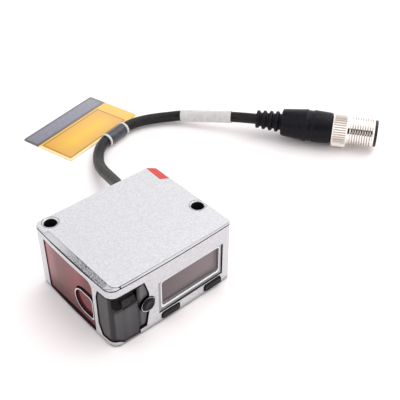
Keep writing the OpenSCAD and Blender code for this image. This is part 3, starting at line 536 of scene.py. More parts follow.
def dress(node, material):
    """Gives a CAD node that keeps its own shape a better material."""
    for place in frame["nodes"][node].material_slots:
        place.material = material


print("merging within %.3f mm" % (1000 * merge_within))

# %% [markdown]
# The housing is a zinc or aluminium casting under a fine silver paint. Seen close it is not one
# grey: metal flakes make a mottle about half a millimetre across, and the spray leaves a very low
# orange peel. Its gloss wanders too, in blobs twice as wide. Painted shade darkens the paint just
# above the table, and a thin line of painted shade runs along its upper edge on the window's side,
# for the shadow in the joint above.

# %% Silver paint
half_l, half_w = 24.0, 20.25  # mm: the housing's half length and half width
rim_z, cover_z, step_z = 23.8, 24.2, 24.78  # mm: housing's rim, cover's underside, its step's foot
edge_shade, blur = (0.02, 0.02, 0.02), 6e-05  # painted shade along the joint on the window's side, and how soft its edge is in metres
outside = 0.030  # metres, past the end of every piece

silver = finish("silver_paint", (0.62, 0.62, 0.64), 0.40, 0.40, edge=0.00016)
flakes = mottle(silver, 0.00062, (0.54, 0.54, 0.56), (0.655, 0.655, 0.68), 0.36, 0.64)
# Painted shade: the paint turns dark grey towards the table, over its lowest 2.6 mm.
off_table = blend_along(silver, 2, 0.0004, 0.0026)
painted = mix_colors(silver, off_table, (0.36, 0.35, 0.36), flakes)
# Painted shade: black along the housing's upper edge on the window's side, for the shadow in the joint.
joint_shade = both(silver, inside(silver, 2, 1e-3 * (rim_z - 0.14), outside, blur),
               inside(silver, 0, -outside, -1e-3 * (half_l - 0.15), blur))
color_from(silver, mix_colors(silver, joint_shade, painted, edge_shade))
uneven(silver, 0.0011, 0.34, 0.48)
grain(silver, 0.0005, 0.000012, 2.0)
housing = skin_of("housing", silver)
cover = skin_of("top_cover", silver)
print("housing faces", len(housing.data.polygons), "cover faces", len(cover.data.polygons))

# %% [markdown]
# Not all of the casting is painted. The band round the cover's raised field is ground smooth, and by
# the window it is painted darker in specks, as painted shade where it curves down. The joint between
# housing and cover is filled with black sealer, which also serves as painted shade in the gap. The bores
# and the pockets are painted black as painted shade, and the whole inside is blackened against stray
# light. The foot shows the table's shade. Each of these is a finish of its own on the same two skins.

# %% Finishes of the worked faces
polished = finish("ground_band", (0.62, 0.62, 0.65), 0.24, 0.9, edge=6e-05)
# Black in the joint: sealer where it is, and painted shade in the gap, the notch and along the lower edge.
sealer_and_shade = finish("joint_sealer_and_shade", (0.008, 0.008, 0.008), 0.6, Specular_IOR_Level=0.25)
mottle(sealer_and_shade, 0.0008, (0.006, 0.006, 0.006), (0.013, 0.012, 0.012))
# Black for the inside against stray light, and painted shade in the bores, round the bosses and along the
# step.
blackened_and_shade = finish("blackened_metal_and_shade", (0.012, 0.012, 0.012), 0.5, Specular_IOR_Level=0.25)
mottle(blackened_and_shade, 0.0006, (0.008, 0.008, 0.008), (0.018, 0.017, 0.017))

# Painted shade: the speckled dark finish of the band on the window's side.
shaded_band = finish("band_painted_shade", (0.4, 0.4, 0.42), 0.34, 0.5, edge=6e-05)
speckle = mottle(shaded_band, 0.00030, (0.04, 0.04, 0.05), (0.62, 0.62, 0.65), 0.37, 0.62, 2.0)
# Painted shade: dark specks along the band's middle stretch on the window's side, fading out towards both
# ends.
band_shade_mask = both(shaded_band, blend_along(shaded_band, 1, 0.010, -0.006), blend_along(shaded_band, 1, -0.0175, -0.0160))
band_color = mix_colors(shaded_band, band_shade_mask, (0.66, 0.66, 0.68), speckle)
# Painted shade: the band's outer edge on the window's side is black, for the shadow in the joint.
outer_edge = inside(shaded_band, 0, -outside, -1e-3 * (half_l - 0.16), blur)
color_from(shaded_band, mix_colors(shaded_band, outer_edge, band_color, edge_shade))

foot = finish("shaded_foot", (0.3, 0.3, 0.31), 0.45, 0.3, edge=0.0001)
mottle(foot, 0.0009, (0.14, 0.13, 0.14), (0.24, 0.23, 0.24))
# Painted shade: the step's groove line, black at the front corner and fading to grey towards the rear.
step_edge = finish("step_edge", (0.1, 0.1, 0.1), 0.5, 0.2)
towards_rear = blend_along(step_edge, 0, -0.016, 0.018)
color_from(step_edge, mix_colors(step_edge, towards_rear, (0.012, 0.012, 0.012), (0.33, 0.33, 0.34)))
uneven(step_edge, 0.0008, 0.40, 0.55)
for each in (polished, sealer_and_shade, blackened_and_shade, shaded_band, foot, step_edge):
    for piece in (housing, cover):
        piece.data.materials.append(each)
print("housing has", len(housing.data.materials), "finishes")

# %% [markdown]
# A face gets one of these finishes by where its middle is and how it lies. Picking faces by hand
# would have to be done again after each change of the solid, while a rule with the casting's own
# heights, sides and hole axes picks them all at once. Lengths are in millimetres.

# %% Rules for choosing faces
holes = np.array([[-19.4, 17.2], [21.1, -6.9]])
bore_r, bevel_r, boss_r, field_hole_r = 2.17, 2.46, 2.87, 4.0
hair = 0.02  # a height within this is the same height


def paint_faces(title, piece, material, chosen):
    """Gives the faces where chosen(middles in mm, normals) is true that material of the piece."""
    mesh = piece.data
    which = read_all(mesh.polygons, "material_index", kind=np.int32)
    picked = chosen(1000 * read_all(mesh.polygons, "center", 3), read_all(mesh.polygons, "normal", 3))
    which[picked] = mesh.materials.find(material.name)
    mesh.polygons.foreach_set("material_index", which)
    print("%s: %d faces" % (title, picked.sum()))


def near_hole(m, radius):
    """True within radius of one of the two upright hole axes."""
    return np.linalg.norm(m[:, None, :2] - holes[None], axis=2).min(axis=1) < radius


def upright(n, tilt=0.3):
    """True for faces that stand: the height of the normal is below tilt, up or down."""
    return np.abs(n[:, 2]) < tilt


def slanting(n, low=0.3, high=0.9):
    """True for faces that look up at a slant: the height of the normal is between low and high."""
    return (n[:, 2] > low) & (n[:, 2] < high)


def window_side(m, depth):
    """True less than depth behind the window's side of the housing."""
    return m[:, 0] < depth - half_l


def display_side(m, depth):
    """True less than depth behind the display's side of the housing."""
    return m[:, 1] < depth - half_w


print("hole axes at", holes.tolist())

# %% [markdown]
# The housing is blackened inside against stray light, and painted black in its bores and round its
# bosses as painted shade. It is black on its rim, as sealer and painted shade in the joint, and bright on
# the small bevels of its bores. Its inner faces lie between floor and rim and don't look out of a side
# or a corner.

# %% Worked faces of the housing
foot_top = 0.85


def inner_face(m, n):
    """True for faces between floor and rim that don't look out of one of the four sides or corners."""
    side = np.sign(m[:, :2]) * n[:, :2]
    at_corner = (side > 0.05).all(axis=1)
    at_side = ((side > 0.9) & (np.abs(m[:, :2]) > [half_l - 0.6, half_w - 0.6])).any(axis=1)
    return (m[:, 2] > foot_top) & (m[:, 2] < rim_z - hair) & ~at_corner & ~at_side


def gap_wall(m, n):
    """True for the upright walls of the gap round each boss, but for the stretch by the rear edge."""
    return near_hole(m, boss_r) & upright(n) & (m[:, 0] < half_l - 1.6)


paint_faces("inside", housing, blackened_and_shade, inner_face)
# Sealer and painted shade: the rim's top inside the joint is black, for the shade in the gap.
paint_faces("rim", housing, sealer_and_shade, lambda m, n: (np.abs(m[:, 2] - rim_z) < hair) & (n[:, 2] > 0.9))
# Painted shade: the bores are black.
paint_faces("bores", housing, blackened_and_shade, lambda m, n: near_hole(m, bore_r) & upright(n))
paint_faces("bevels", housing, polished, lambda m, n: near_hole(m, bevel_r) & slanting(n))
paint_faces("foot", housing, foot, lambda m, n: (m[:, 2] < foot_top) & slanting(-n, 0.1))
# Painted shade: the walls of the gap round each boss are black.
paint_faces("round the bosses", housing, blackened_and_shade, gap_wall)

# %% [markdown]
# The cover's raised field has a sloping band round it and a low step up from the band. On the
# display's and the window's sides the step's foot is painted dark as painted shade of a groove, fading
# towards the rear, and speckled by the window like the band.

# %% Worked faces of the cover
side_strip, corner_strip, notch_x = 3, 5, 4.25 - half_l


def on_band(m, n):
    """True for the faces of the slope round the raised field."""
    return (m[:, 2] > cover_z + 0.1) & slanting(n, 0.5, 0.9999)


def on_step(m, n):
    """True for the low upright faces round the raised field."""
    return (m[:, 2] > step_z) & upright(n, 0.1)


def notch(m, n):
    """True in the small notch of the band on the display's side, but for its level ground."""
    return ((np.abs(m[:, 0] - notch_x) < 0.3) & display_side(m, 1.7) & (m[:, 2] < step_z + 0.2)
            & (n[:, 2] < 0.9))


paint_faces("band", cover, polished, on_band)
# Painted shade: the band on the window's side gets the speckled dark finish.
paint_faces("shaded_band", cover, shaded_band, lambda m, n: on_band(m, n) & window_side(m, 2.6)
            & ~display_side(m, side_strip))
# Painted shade: the cover's underside in the joint is black as well.
paint_faces("underside", cover, sealer_and_shade, lambda m, n: m[:, 2] < cover_z + 0.01)
# Painted shade: black along the step on the display's and the window's sides.
paint_faces("step", cover, blackened_and_shade, lambda m, n: on_step(m, n) & ~near_hole(m, field_hole_r)
            & (display_side(m, side_strip) | window_side(m, side_strip)))
paint_faces("front step", cover, step_edge, lambda m, n: on_step(m, n) & display_side(m, side_strip)
            & ~window_side(m, corner_strip))
paint_faces("window side step", cover, shaded_band, lambda m, n: on_step(m, n) & window_side(m, side_strip)
            & ~display_side(m, corner_strip) & ~near_hole(m, field_hole_r))
# Painted shade: the cover's lower edge on the window's side gets the black finish, for the shadow in the
# joint.
paint_faces("lower edge", cover, sealer_and_shade, lambda m, n: (m[:, 2] < cover_z + 0.31) & upright(n)
            & (n[:, 0] < -0.5) & window_side(m, 0.6))
# Painted shade: the cover's walls round the bosses are black too.
paint_faces("round the bosses", cover, blackened_and_shade, gap_wall)
# Painted shade: black in the notch, where shade falls.
paint_faces("notch", cover, sealer_and_shade, notch)

# %% [markdown]
# A black rubber seal shows as a thin line between housing and cover. Rubber is dull and never quite
# black: it picks up a little dust. At the rear corner a red inlay stands in the cover, with a thin line
# of painted shade where it meets the metal, for the gap there.

# %% Rubber and accent
rubber = finish("black_rubber", (0.010, 0.009, 0.010), 0.55, edge=0.0001, Specular_IOR_Level=0.3)
mottle(rubber, 0.0009, (0.009, 0.008, 0.009), (0.022, 0.020, 0.021))
grain(rubber, 0.0004, 0.00002)
dress("cover_gasket", rubber)

inlay_x, inlay_y = 0.02112, 0.01065  # where the inlay's two inner edges are, in metres
accent_red = finish("accent_red", (0.72, 0.030, 0.022), 0.34, edge=8e-05, Coat_Weight=0.25)
plain_red = mottle(accent_red, 0.0016, (0.56, 0.022, 0.016), (0.68, 0.040, 0.030))
# Painted shade: a thin dark line along the inlay's two inner edges.
off_edges = both(accent_red, inside(accent_red, 0, inlay_x, outside, 8e-05),
                 inside(accent_red, 1, inlay_y, outside, 8e-05))
color_from(accent_red, mix_colors(accent_red, off_edges, (0.02, 0.004, 0.004), plain_red))
grain(accent_red, 0.0005, 0.000008)
skin_of("accent_inlay", accent_red)
print("seal and accent dressed")

# %% [markdown]
# The front window is dark red acrylic over black optics. From here it mirrors the white table, most
# at its far upper end, and turns deep maroon low down where it mirrors its own shadow. Real tinted
# depth would cost much light, so the tint is a gradient in the window's own plane, with the table's
# reflection painted in as paler red far along and up high and its shadow painted in as deep maroon
# low down, under a clear, hard surface that mirrors as well.

# %% Window red
window_red = finish("window_red", (0.20, 0.03, 0.03), 0.07, edge=0.0001, Specular_IOR_Level=0.21)
# Painted reflection and shade: paler red where the window mirrors the table, a brighter stripe near its
# near end, and deep maroon low down.
nearer = blend_along(window_red, 1, 0.0155, -0.0070, False)
window_stops = [(0.0, (0.36, 0.158, 0.172)), (0.28, (0.17, 0.056, 0.060)), (0.50, (0.17, 0.046, 0.050)),
                (0.80, (0.235, 0.055, 0.060)), (1.0, (0.13, 0.020, 0.023))]
upper = ramp_of(window_red, nearer, window_stops)
higher = blend_along(window_red, 2, 0.0015, 0.0115)
color_from(window_red, mix_colors(window_red, higher, (0.060, 0.005, 0.006), upper))
uneven(window_red, 0.004, 0.05, 0.10)
skin_of("front_window", window_red)
print("window dressed in", len(window_stops), "reds")

# %% [markdown]
# The transmitter's lens lies behind the window in a bright turned tube. The tube's walls are
# blackened like the rest of the optics, so only its front rim shines.

# %% Lens and its ring
lens_red = finish("lens_red", (0.17, 0.018, 0.022), 0.05, edge=8e-05, Specular_IOR_Level=0.20)
higher = blend_along(lens_red, 2, 0.006, 0.014)
color_from(lens_red, mix_colors(lens_red, higher, (0.12, 0.012, 0.018), (0.18, 0.022, 0.030)))
dress("transmit_lens", lens_red)

chrome = finish("bright_chrome", (0.86, 0.86, 0.88), 0.10, 1.0, edge=0.00012)
uneven(chrome, 0.0012, 0.07, 0.16)
tube_rim = skin_of("lens_ring", chrome)
tube_rim.data.materials.append(blackened_and_shade)
paint_faces("tube walls", tube_rim, blackened_and_shade, lambda m, n: np.abs(n[:, 0]) < 0.5)

# %% [markdown]
# The round button stands in a thin bright ring, with a dark gap round the outside. The gap is only a
# tenth of a millimetre wide, so it isn't cut: the finish paints its shade as a dark band on the ring's
# outermost part, by the distance from the ring's middle.

# %% Ring of the round button
ring_low, ring_high = (np.array(corner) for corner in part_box("round_button_ring"))
ring_middle, ring_r = (ring_low + ring_high) / 2, (ring_high[0] - ring_low[0]) / 2
ring_middle[1] = ring_low[1]
gap_from, gap_to = 0.00024, 0.00014  # metres inwards from the ring's edge
trim = finish("button_trim", (0.86, 0.86, 0.88), 0.12, 1.0, edge=0.0001)
uneven(trim, 0.0012, 0.09, 0.18)
off_axis = add(trim, "VectorMath", operation="DISTANCE")
link(trim, place_of(trim), off_axis.inputs[0])
off_axis.inputs[1].default_value = ring_middle.tolist()
# Painted shade: the ring's outermost part is nearly black, for the gap round it.
at_gap = spread_of(trim, off_axis.outputs["Value"], ring_r - gap_from, ring_r - gap_to)
color_from(trim, mix_colors(trim, at_gap, (0.90, 0.90, 0.92), (0.010, 0.010, 0.011)))
skin_of("round_button_ring", trim)
print("ring of %.2f mm radius dressed" % (1000 * ring_r))

# %% [markdown]
# The indicator cover wraps the sensor's front corner. It is smoked, glossy polycarbonate: nearly
# black seen square on, and it hides the lamps behind it while off. Where it mirrors the table it is
# grey, and these greys are painted reflection: they run upright over it, so they are a row of stops
# along one level direction that leads past the corner. A second row gives the height at which they
# begin, above a foot painted black as painted shade.

# %% Smoked cover
past_corner_dir, past_from, past_to = (0.794, -0.608, 0.0), -0.011, 0.004
greys = [(0.0, 0.020), (0.05, 0.034), (0.17, 0.036), (0.20, 0.060), (0.225, 0.018), (0.30, 0.013),
         (0.33, 0.033), (0.35, 0.078), (0.40, 0.066), (0.51, 0.047), (0.61, 0.064), (0.70, 0.052),
         (0.775, 0.045), (0.795, 0.007), (0.83, 0.040), (0.86, 0.112), (0.93, 0.092), (1.0, 0.060)]
begin_mm = [(0.0, 6.5), (0.07, 2.4), (0.36, 2.4), (0.49, 0.9), (0.79, 0.9), (0.80, 2.6), (1.0, 2.6)]
full_mm = 25  # the height that a stop of 1 stands for

smoked = finish("smoked_plastic", (0.05, 0.05, 0.05), 0.12, edge=0.0003, Specular_IOR_Level=0.3)
past_corner = add(smoked, "VectorMath", operation="DOT_PRODUCT")
past_corner.inputs[1].default_value = past_corner_dir
link(smoked, place_of(smoked), past_corner.inputs[0])
along = spread_of(smoked, past_corner.outputs["Value"], past_from, past_to)
# Painted reflection: upright bands of grey round the corner, where the cover mirrors the table.
reflection_streaks = ramp_of(smoked, along, [(t, (g, g, 1.07 * g)) for t, g in greys])
begin = ramp_of(smoked, along, [(t, (z / full_mm,) * 3) for t, z in begin_mm])
above = add(smoked, "Math", operation="MULTIPLY_ADD")
link(smoked, begin, above.inputs[0])
above.inputs[1].default_value = -full_mm / 1000
link(smoked, coordinate(smoked, 2), above.inputs[2])
# Painted shade: below the height of the first row the cover is black, for its dark foot.
off_foot = spread_of(smoked, above.outputs[0], 0.0005, 0.0013)
print("smoked cover has", len(greys), "greys")

# %% [markdown]
# The scoop at the cover's upper end is painted deep black as painted shade, and a small block stands in
# it, a little lighter. The painted greys stop below the scoop, and all along just under the cover's upper
# edge, where painted shade stands for the shadow under the rim.

# %% Scoop of the smoked cover
white, black = (1, 1, 1), (0, 0, 0)
# Painted shade: the scoop's faces stay black.
beside_scoop = ramp_of(smoked, along, [(0.22, white), (0.32, black), (0.785, black), (0.80, white)])
off_scoop = both(smoked, beside_scoop, blend_along(smoked, 2, 0.0156, 0.0136), "MAXIMUM")
# Painted shade: black just under the cover's upper edge, for the shadow under the rim.
clear = both(smoked, off_foot, blend_along(smoked, 2, 0.0205, 0.0199))
# The painted greys fade darker towards the bottom.
paler_up = blend_along(smoked, 2, -0.020, 0.012, False)
shown = both(smoked, both(smoked, clear, off_scoop), paler_up)
color_from(smoked, mix_colors(smoked, shown, (0.002, 0.002, 0.002), reflection_streaks))
uneven(smoked, 0.0025, 0.08, 0.15)
corner_cover = skin_of("indicator_cover", smoked)
# Painted shade: near-black finishes for the scoop and, a little lighter, for its block.
scoop = finish("scoop_black", (0.003, 0.003, 0.003), 0.22, edge=0.0002, Specular_IOR_Level=0.08)
mottle(scoop, 0.003, (0.002, 0.002, 0.002), (0.006, 0.006, 0.007))
block = finish("scoop_block", (0.022, 0.021, 0.022), 0.20, edge=0.0002, Specular_IOR_Level=0.15)
mottle(block, 0.002, (0.012, 0.012, 0.012), (0.036, 0.035, 0.037))
for each in (scoop, block):
    corner_cover.data.materials.append(each)

scoop_foot, scoop_end, block_x = 15.0, -13.9, -17.0  # mm
paint_faces("scoop", corner_cover, scoop, lambda m, n: (m[:, 2] > scoop_foot) & (m[:, 0] < scoop_end)
            & (m[:, 1] > -19.9) & (n[:, 1] < -0.2) & (n[:, 0] > -0.3))
paint_faces("block", corner_cover, block, lambda m, n: (np.abs(m[:, 0] - block_x) < 0.01)
            & (m[:, 2] > scoop_foot + 0.5) & (m[:, 2] < scoop_foot + 3.5) & (n[:, 1] < -0.2))

# %% [markdown]
# A thin black bead is a painted shadow: it stands for the shadow under the housing's rim along the
# cover's upper edge. It is laid round the corner: a path with the housing's own bend, and a small
# rounded section carried along it, higher than it is wide so that it fills the gap.

# %% Painted shadow above the smoked cover
bend = 1e-3 * np.array([
    [-23.55, -12.9, 20.8], [-23.56, -14.6, 20.8], [-23.50, -16.2, 20.8], [-23.30, -17.3, 20.8],
    [-22.85, -18.35, 20.8], [-22.15, -19.05, 20.8], [-21.20, -19.55, 20.8], [-19.80, -19.80, 20.8],
    [-17.00, -19.88, 20.8], [-14.50, -19.92, 20.8], [-12.60, -19.94, 20.8]])
bead_path = curve_through(bend)
_, bead_side, bead_up = frames_along(bead_path)
a = np.arange(12) * tau / 12
half_wide, half_high = 0.17e-3, 0.42e-3
bead_grid = (bead_path[:, None] + half_wide * np.cos(a)[None, :, None] * bead_side[:, None]
             + half_high * np.sin(a)[None, :, None] * bead_up[:, None])
# Painted shadow: near-black finish for the bead under the rim.
rim_shadow_black = finish("rim_shadow_black", (0.004, 0.004, 0.004), 0.6, Specular_IOR_Level=0.1)
mottle(rim_shadow_black, 0.0006, (0.003, 0.003, 0.003), (0.007, 0.007, 0.007))
bead = skin("rim_shadow_bead", bead_grid)
bead.data.materials.append(rim_shadow_black)
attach(bead, "sensor")
print("bead points", len(bead_path))

# %% [markdown]
# The display lies behind a mauve-brown film, which is off here. Its cell sits a little deeper, so the
# film is painted darker along its lower and rear edges, as painted shade of the well's walls seen
# through it. The frame round it is painted in lit and shaded strips: a bright rim as painted highlight,
# a grey slope towards its gap and a dark slope down to the film as painted shade.

# %% Display film
pane = finish("display_pane", (0.20, 0.15, 0.155), 0.16, edge=0.0001, IOR=1.5, Coat_Weight=0.2,
              Coat_Roughness=0.08)
towards_rear = blend_along(pane, 0, -0.006, 0.014)
film_color = mix_colors(pane, towards_rear, (0.092, 0.064, 0.072), (0.166, 0.120, 0.127))
# Painted shade: the film darkens outside the cell, along its edges, for the well's walls.
over_cell = both(pane, inside(pane, 0, -0.0041, 0.0170, 0.0010), inside(pane, 2, 0.0091, 0.0200, 0.0014))
color_from(pane, mix_colors(pane, over_cell, (0.086, 0.070, 0.075), film_color))
display = skin_of("display_panel", pane)
print("display faces", len(display.data.polygons))

# %% [markdown]
# The frame could be cut out of a block, but its whole shape is one profile carried round a rounded
# rectangle: each row is the outline moved inwards on its four sides and set at its own depth. It
# follows the slight bow of the housing's face, so that the gap round it stays even.

# %% Display frame
frame_left, frame_right, frame_low, frame_high = -6.25, 20.05, 4.75, 17.45  # mm
bow = 1224  # mm: the display face recedes by x^2 / bow


def rounded_outline(x0, x1, y0, y1, radius, per=8):
    """Outline of a rectangle with round corners, counter-clockwise: a quarter circle per corner."""
    centres = np.array([[x1 - radius, y0 + radius], [x1 - radius, y1 - radius],
                        [x0 + radius, y1 - radius], [x0 + radius, y0 + radius]])
    a = radians(-90) + np.arange(4)[:, None] * radians(90) + np.linspace(0, radians(90), per)[None, :]
    return (centres[:, None] + radius * np.stack([np.cos(a), np.sin(a)], -1)).reshape(-1, 2)


def frame_row(left, right, low, high, radius, depth):
    """The frame's outer rectangle moved inwards by four distances, at y = depth - half_w, and
    further back by x^2 / bow where it is part of the bowed front."""
    x, z = rounded_outline(frame_left + left, frame_right - right, frame_low + low, frame_high - high,
                           radius).T
    return np.stack([x, -half_w + depth + (depth < 1) * x**2 / bow, z], -1)


grey_strip, rim_strip, well_strip = 0, 1, 2
frame_table = [  # moved in at left, right, low and high, corner radius, depth, finish up to the next row
    [0.00, 0.00, 0.00, 0.00, 0.15, 2.60, grey_strip], [0.00, 0.00, 0.00, 0.00, 0.20, 0.28, grey_strip],
    [0.06, 0.06, 0.06, 0.04, 0.25, 0.23, grey_strip], [0.86, 0.91, 1.34, 0.22, 0.90, 0.19, rim_strip],
    [0.89, 0.94, 1.37, 0.26, 0.92, 0.14, rim_strip], [1.18, 1.16, 1.98, 0.44, 1.02, 0.14, rim_strip],
    [1.23, 1.20, 2.03, 0.48, 1.04, 0.20, well_strip], [1.80, 1.50, 2.40, 0.70, 1.15, 1.02, well_strip],
    [1.83, 1.53, 2.43, 0.73, 1.20, 1.08, grey_strip], [1.10, 0.80, 1.60, 0.36, 0.55, 1.08, grey_strip],
    [1.10, 0.80, 1.60, 0.36, 0.55, 2.60, grey_strip]]
frame_rows = [frame_row(*row[:6]) for row in frame_table]
frame_grid = 1e-3 * np.stack(frame_rows)
frame_ring = skin("display_frame_ring", frame_grid, ring=True)
# Painted shade and highlight: one metal frame in three tones, a bright rim and darker slopes.
slope_painted_shade = finish("display_frame_painted_shade", (0.36, 0.36, 0.37), 0.34, 0.4)
mottle(slope_painted_shade, 0.0006, (0.30, 0.30, 0.31), (0.42, 0.42, 0.43))
rim_painted_highlight = finish("display_rim_painted_highlight", (0.86, 0.86, 0.88), 0.25, 0.4)
mottle(rim_painted_highlight, 0.0005, (0.80, 0.80, 0.82), (0.90, 0.90, 0.92))
well_painted_shade = finish("display_well_painted_shade", (0.12, 0.112, 0.117), 0.34, Specular_IOR_Level=0.4)
mottle(well_painted_shade, 0.0008, (0.10, 0.093, 0.098), (0.14, 0.131, 0.136))
for each in (slope_painted_shade, rim_painted_highlight, well_painted_shade):
    frame_ring.data.materials.append(each)
finish_of_face = np.repeat([row[6] for row in frame_table], frame_grid.shape[1]).astype(np.int32)
frame_ring.data.polygons.foreach_set("material_index", finish_of_face)
frame_ring.data.set_sharp_from_angle(angle=radians(35))
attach(frame_ring, body_of["display_frame"])
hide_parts("display_frame")
print("frame ring faces", len(frame_ring.data.polygons))

# %% [markdown]
# The three buttons are moulded in black with rounded edges and a very fine grain. They move in their
# openings with the same gap all round, so they keep the solids' shapes and only get this finish.

# %% Buttons
button_black = finish("button_rubber", (0.006, 0.006, 0.007), 0.24, edge=0.0002, Specular_IOR_Level=0.15)
mottle(button_black, 0.0012, (0.005, 0.005, 0.006), (0.010, 0.009, 0.011))
grain(button_black, 0.0003, 0.000010)
for button in ("round_button", "left_button", "right_button"):
    skin_of(button, button_black)
print("buttons dressed")

# %% [markdown]
# The lead's jacket is satin black PVC, extruded and a little brown where light grazes it. Its very
# fine grain runs along the cable, so the noise reads the tube's own map, stretched lengthwise.

# %% Lead finish
jacket = finish("cable_jacket", (0.009, 0.007, 0.008), 0.36, Specular_IOR_Level=0.22)
mottle(jacket, 1.4, (0.005, 0.0042, 0.005), (0.013, 0.0105, 0.011), uv=True, stretch=(0.25, 1, 1))
uneven(jacket, 2.0, 0.30, 0.42, uv=True)
grain(jacket, 0.35, 0.000012, uv=True, stretch=(0.3, 1, 1))
lead.data.materials.append(jacket)
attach(lead, "sensor")
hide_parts("cable")
print("lead dressed as", jacket.name)

# %% [markdown]
# Plug, rings and sleeve are all turned shapes. A half profile, given as distance along an axis and
# radius, is carried round that axis. Moulded corners are first cut by a short curve, because a knife
# edge is what gives a turned model away.

# %% Turned shapes
def soften(profile, radius, steps=4):
    """Each inner corner C becomes the curve (1-t)^2 A + 2t(1-t) C + t^2 B, where A and B lie on its
    two sides, radius away or at 45% of a shorter side."""
    p = np.asarray(profile, dtype=float)
    back, on = p[:-2] - p[1:-1], p[2:] - p[1:-1]
    lb, lo = np.linalg.norm(back, axis=1, keepdims=True), np.linalg.norm(on, axis=1, keepdims=True)
    cut = np.minimum(radius, 0.45 * np.minimum(lb, lo))
    a, b, c = p[1:-1] + back / lb * cut, p[1:-1] + on / lo * cut, p[1:-1]
    t = np.linspace(0, 1, steps)[None, :, None]
    curves = (1 - t) ** 2 * a[:, None] + 2 * t * (1 - t) * c[:, None] + t**2 * b[:, None]
    return np.vstack([p[:1], curves.reshape(-1, 2), p[-1:]])


def turned(name, profile, origin, axis, columns=72, ring=False):
    """P(i, a) = origin + x(i) axis + r(i) (cos a side + sin a up), with side x up = axis.
    The UV map is x and arc in mm."""
    axis = np.asarray(axis) / np.linalg.norm(axis)
    side = np.cross([0, 0, 1.0], axis)
    side /= np.linalg.norm(side)
    up = np.cross(axis, side)
    x, r = np.asarray(profile)[:, 0], np.asarray(profile)[:, 1]
    a = np.arange(columns) * tau / columns
    spokes = np.cos(a)[:, None] * side + np.sin(a)[:, None] * up
    grid = np.asarray(origin) + x[:, None, None] * axis + r[:, None, None] * spokes[None]
    uvs = np.stack(np.broadcast_arrays(1000 * x[:, None], 1000 * r[:, None] * a[None, :]), -1)
    return skin(name, grid, ring=ring, uvs=uvs)


def closed(profile, radius, steps=4):
    """The same softening for a profile that closes on itself."""
    p = np.asarray(profile, dtype=float)
    return soften(np.vstack([(p[:1] + p[-1:]) / 2, p, (p[:1] + p[-1:]) / 2]), radius, steps)[:-1]


def place_piece(piece, material, node):
    """Gives a new piece its finish, and the body and place of the CAD node that it stands for."""
    piece.data.materials.append(material)
    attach(piece, body_of[node])
    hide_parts(node)
    return piece


print("made soften, turned, closed and place_piece")

# %% [markdown]
# The plug body is moulded black PVC: four soft relief ribs, a cone, a groove and a grip. A profile
# in millimetres with its corners softened gives all of it in one turn.

# %% Plug body
plug_tail = 1e-3 * np.array([93.0, 36.5, 7.3])
plug_yaw = radians(-54.246)
plug_axis = np.array([cos(plug_yaw), sin(plug_yaw), 0.0])
rib_pitch, rib_rise, cable_gap = 2.7, 0.35, 2.32
k = np.arange(4)[:, None]
rib_top, rib_low = 3.80 + 0.2 * k, 2.95 + 0.15 * k


def ribbed_profile(pitch, tops, lows):
    """Corners of the relief ribs: each rib rises, runs flat and falls, then the neck runs on to the
    next, all at fixed steps from k times the pitch."""
    x = pitch * np.arange(len(tops))[:, None]
    steps = np.array([[0.0, 0.25, 1.05, 1.5, 1.7, 2.5]])
    radii = np.hstack([tops - rib_rise, tops, tops, tops - rib_rise, lows, lows])
    return np.stack([x + steps, radii], -1).reshape(-1, 2)


body_mm = np.vstack([
    [[2.0, cable_gap], [0.0, cable_gap]], ribbed_profile(rib_pitch, rib_top, rib_low),
    [[10.8, 5.1], [11.2, 5.65], [20.2, 6.6], [20.8, 6.75], [21.4, 6.75], [21.8, 6.4], [23.8, 6.4],
     [24.2, 6.75], [31.1, 6.45], [32.0, 6.1], [32.0, 4.9], [36.0, 4.9]]])
plug_black = finish("plug_black", (0.006, 0.0055, 0.008), 0.34, Specular_IOR_Level=0.14)
mottle(plug_black, 0.0012, (0.0045, 0.004, 0.006), (0.009, 0.008, 0.012))
grain(plug_black, 0.00025, 0.000012)
plug = place_piece(turned("plug_grip", 1e-3 * soften(body_mm, 0.3), plug_tail, plug_axis),
                   plug_black, "plug_body")
print("plug body faces", len(plug.data.polygons))

# %% [markdown]
# The coupling screw is nickel-plated brass with a straight knurl and an M12 thread of 1 mm pitch.
# Both are waves of the radius: the knurl repeats round the axis, while the thread's wave also
# moves along it, which makes a true helix. Each fades out where the real cut runs out.

# %% Waves of the coupling screw
def wave(phase, crest=0.15, root=0.15):
    """0 on the crest, 1 in the root, once per turn of phase: crest and root are the shares of a turn
    that stay flat, and straight flanks join them."""
    saw = np.abs(2 * (phase % 1.0) - 1)
    return np.clip((saw - crest) / (1 - crest - root), 0, 1)


def fade(x, a, b, width):
    """1 between a and b, falling to 0 over width outside it."""
    return np.clip((x - a) / width + 1, 0, 1) * np.clip((b - x) / width + 1, 0, 1)


print("wave from crest to root:", wave(np.array([0.5, 0.25, 0.0])))

# %% [markdown]
# The screw's whole surface is one grid: rows follow the knurl, then the thread, and come back inside
# through the bore. The thread needs twelve rows to a turn, and each knurl tooth six columns.

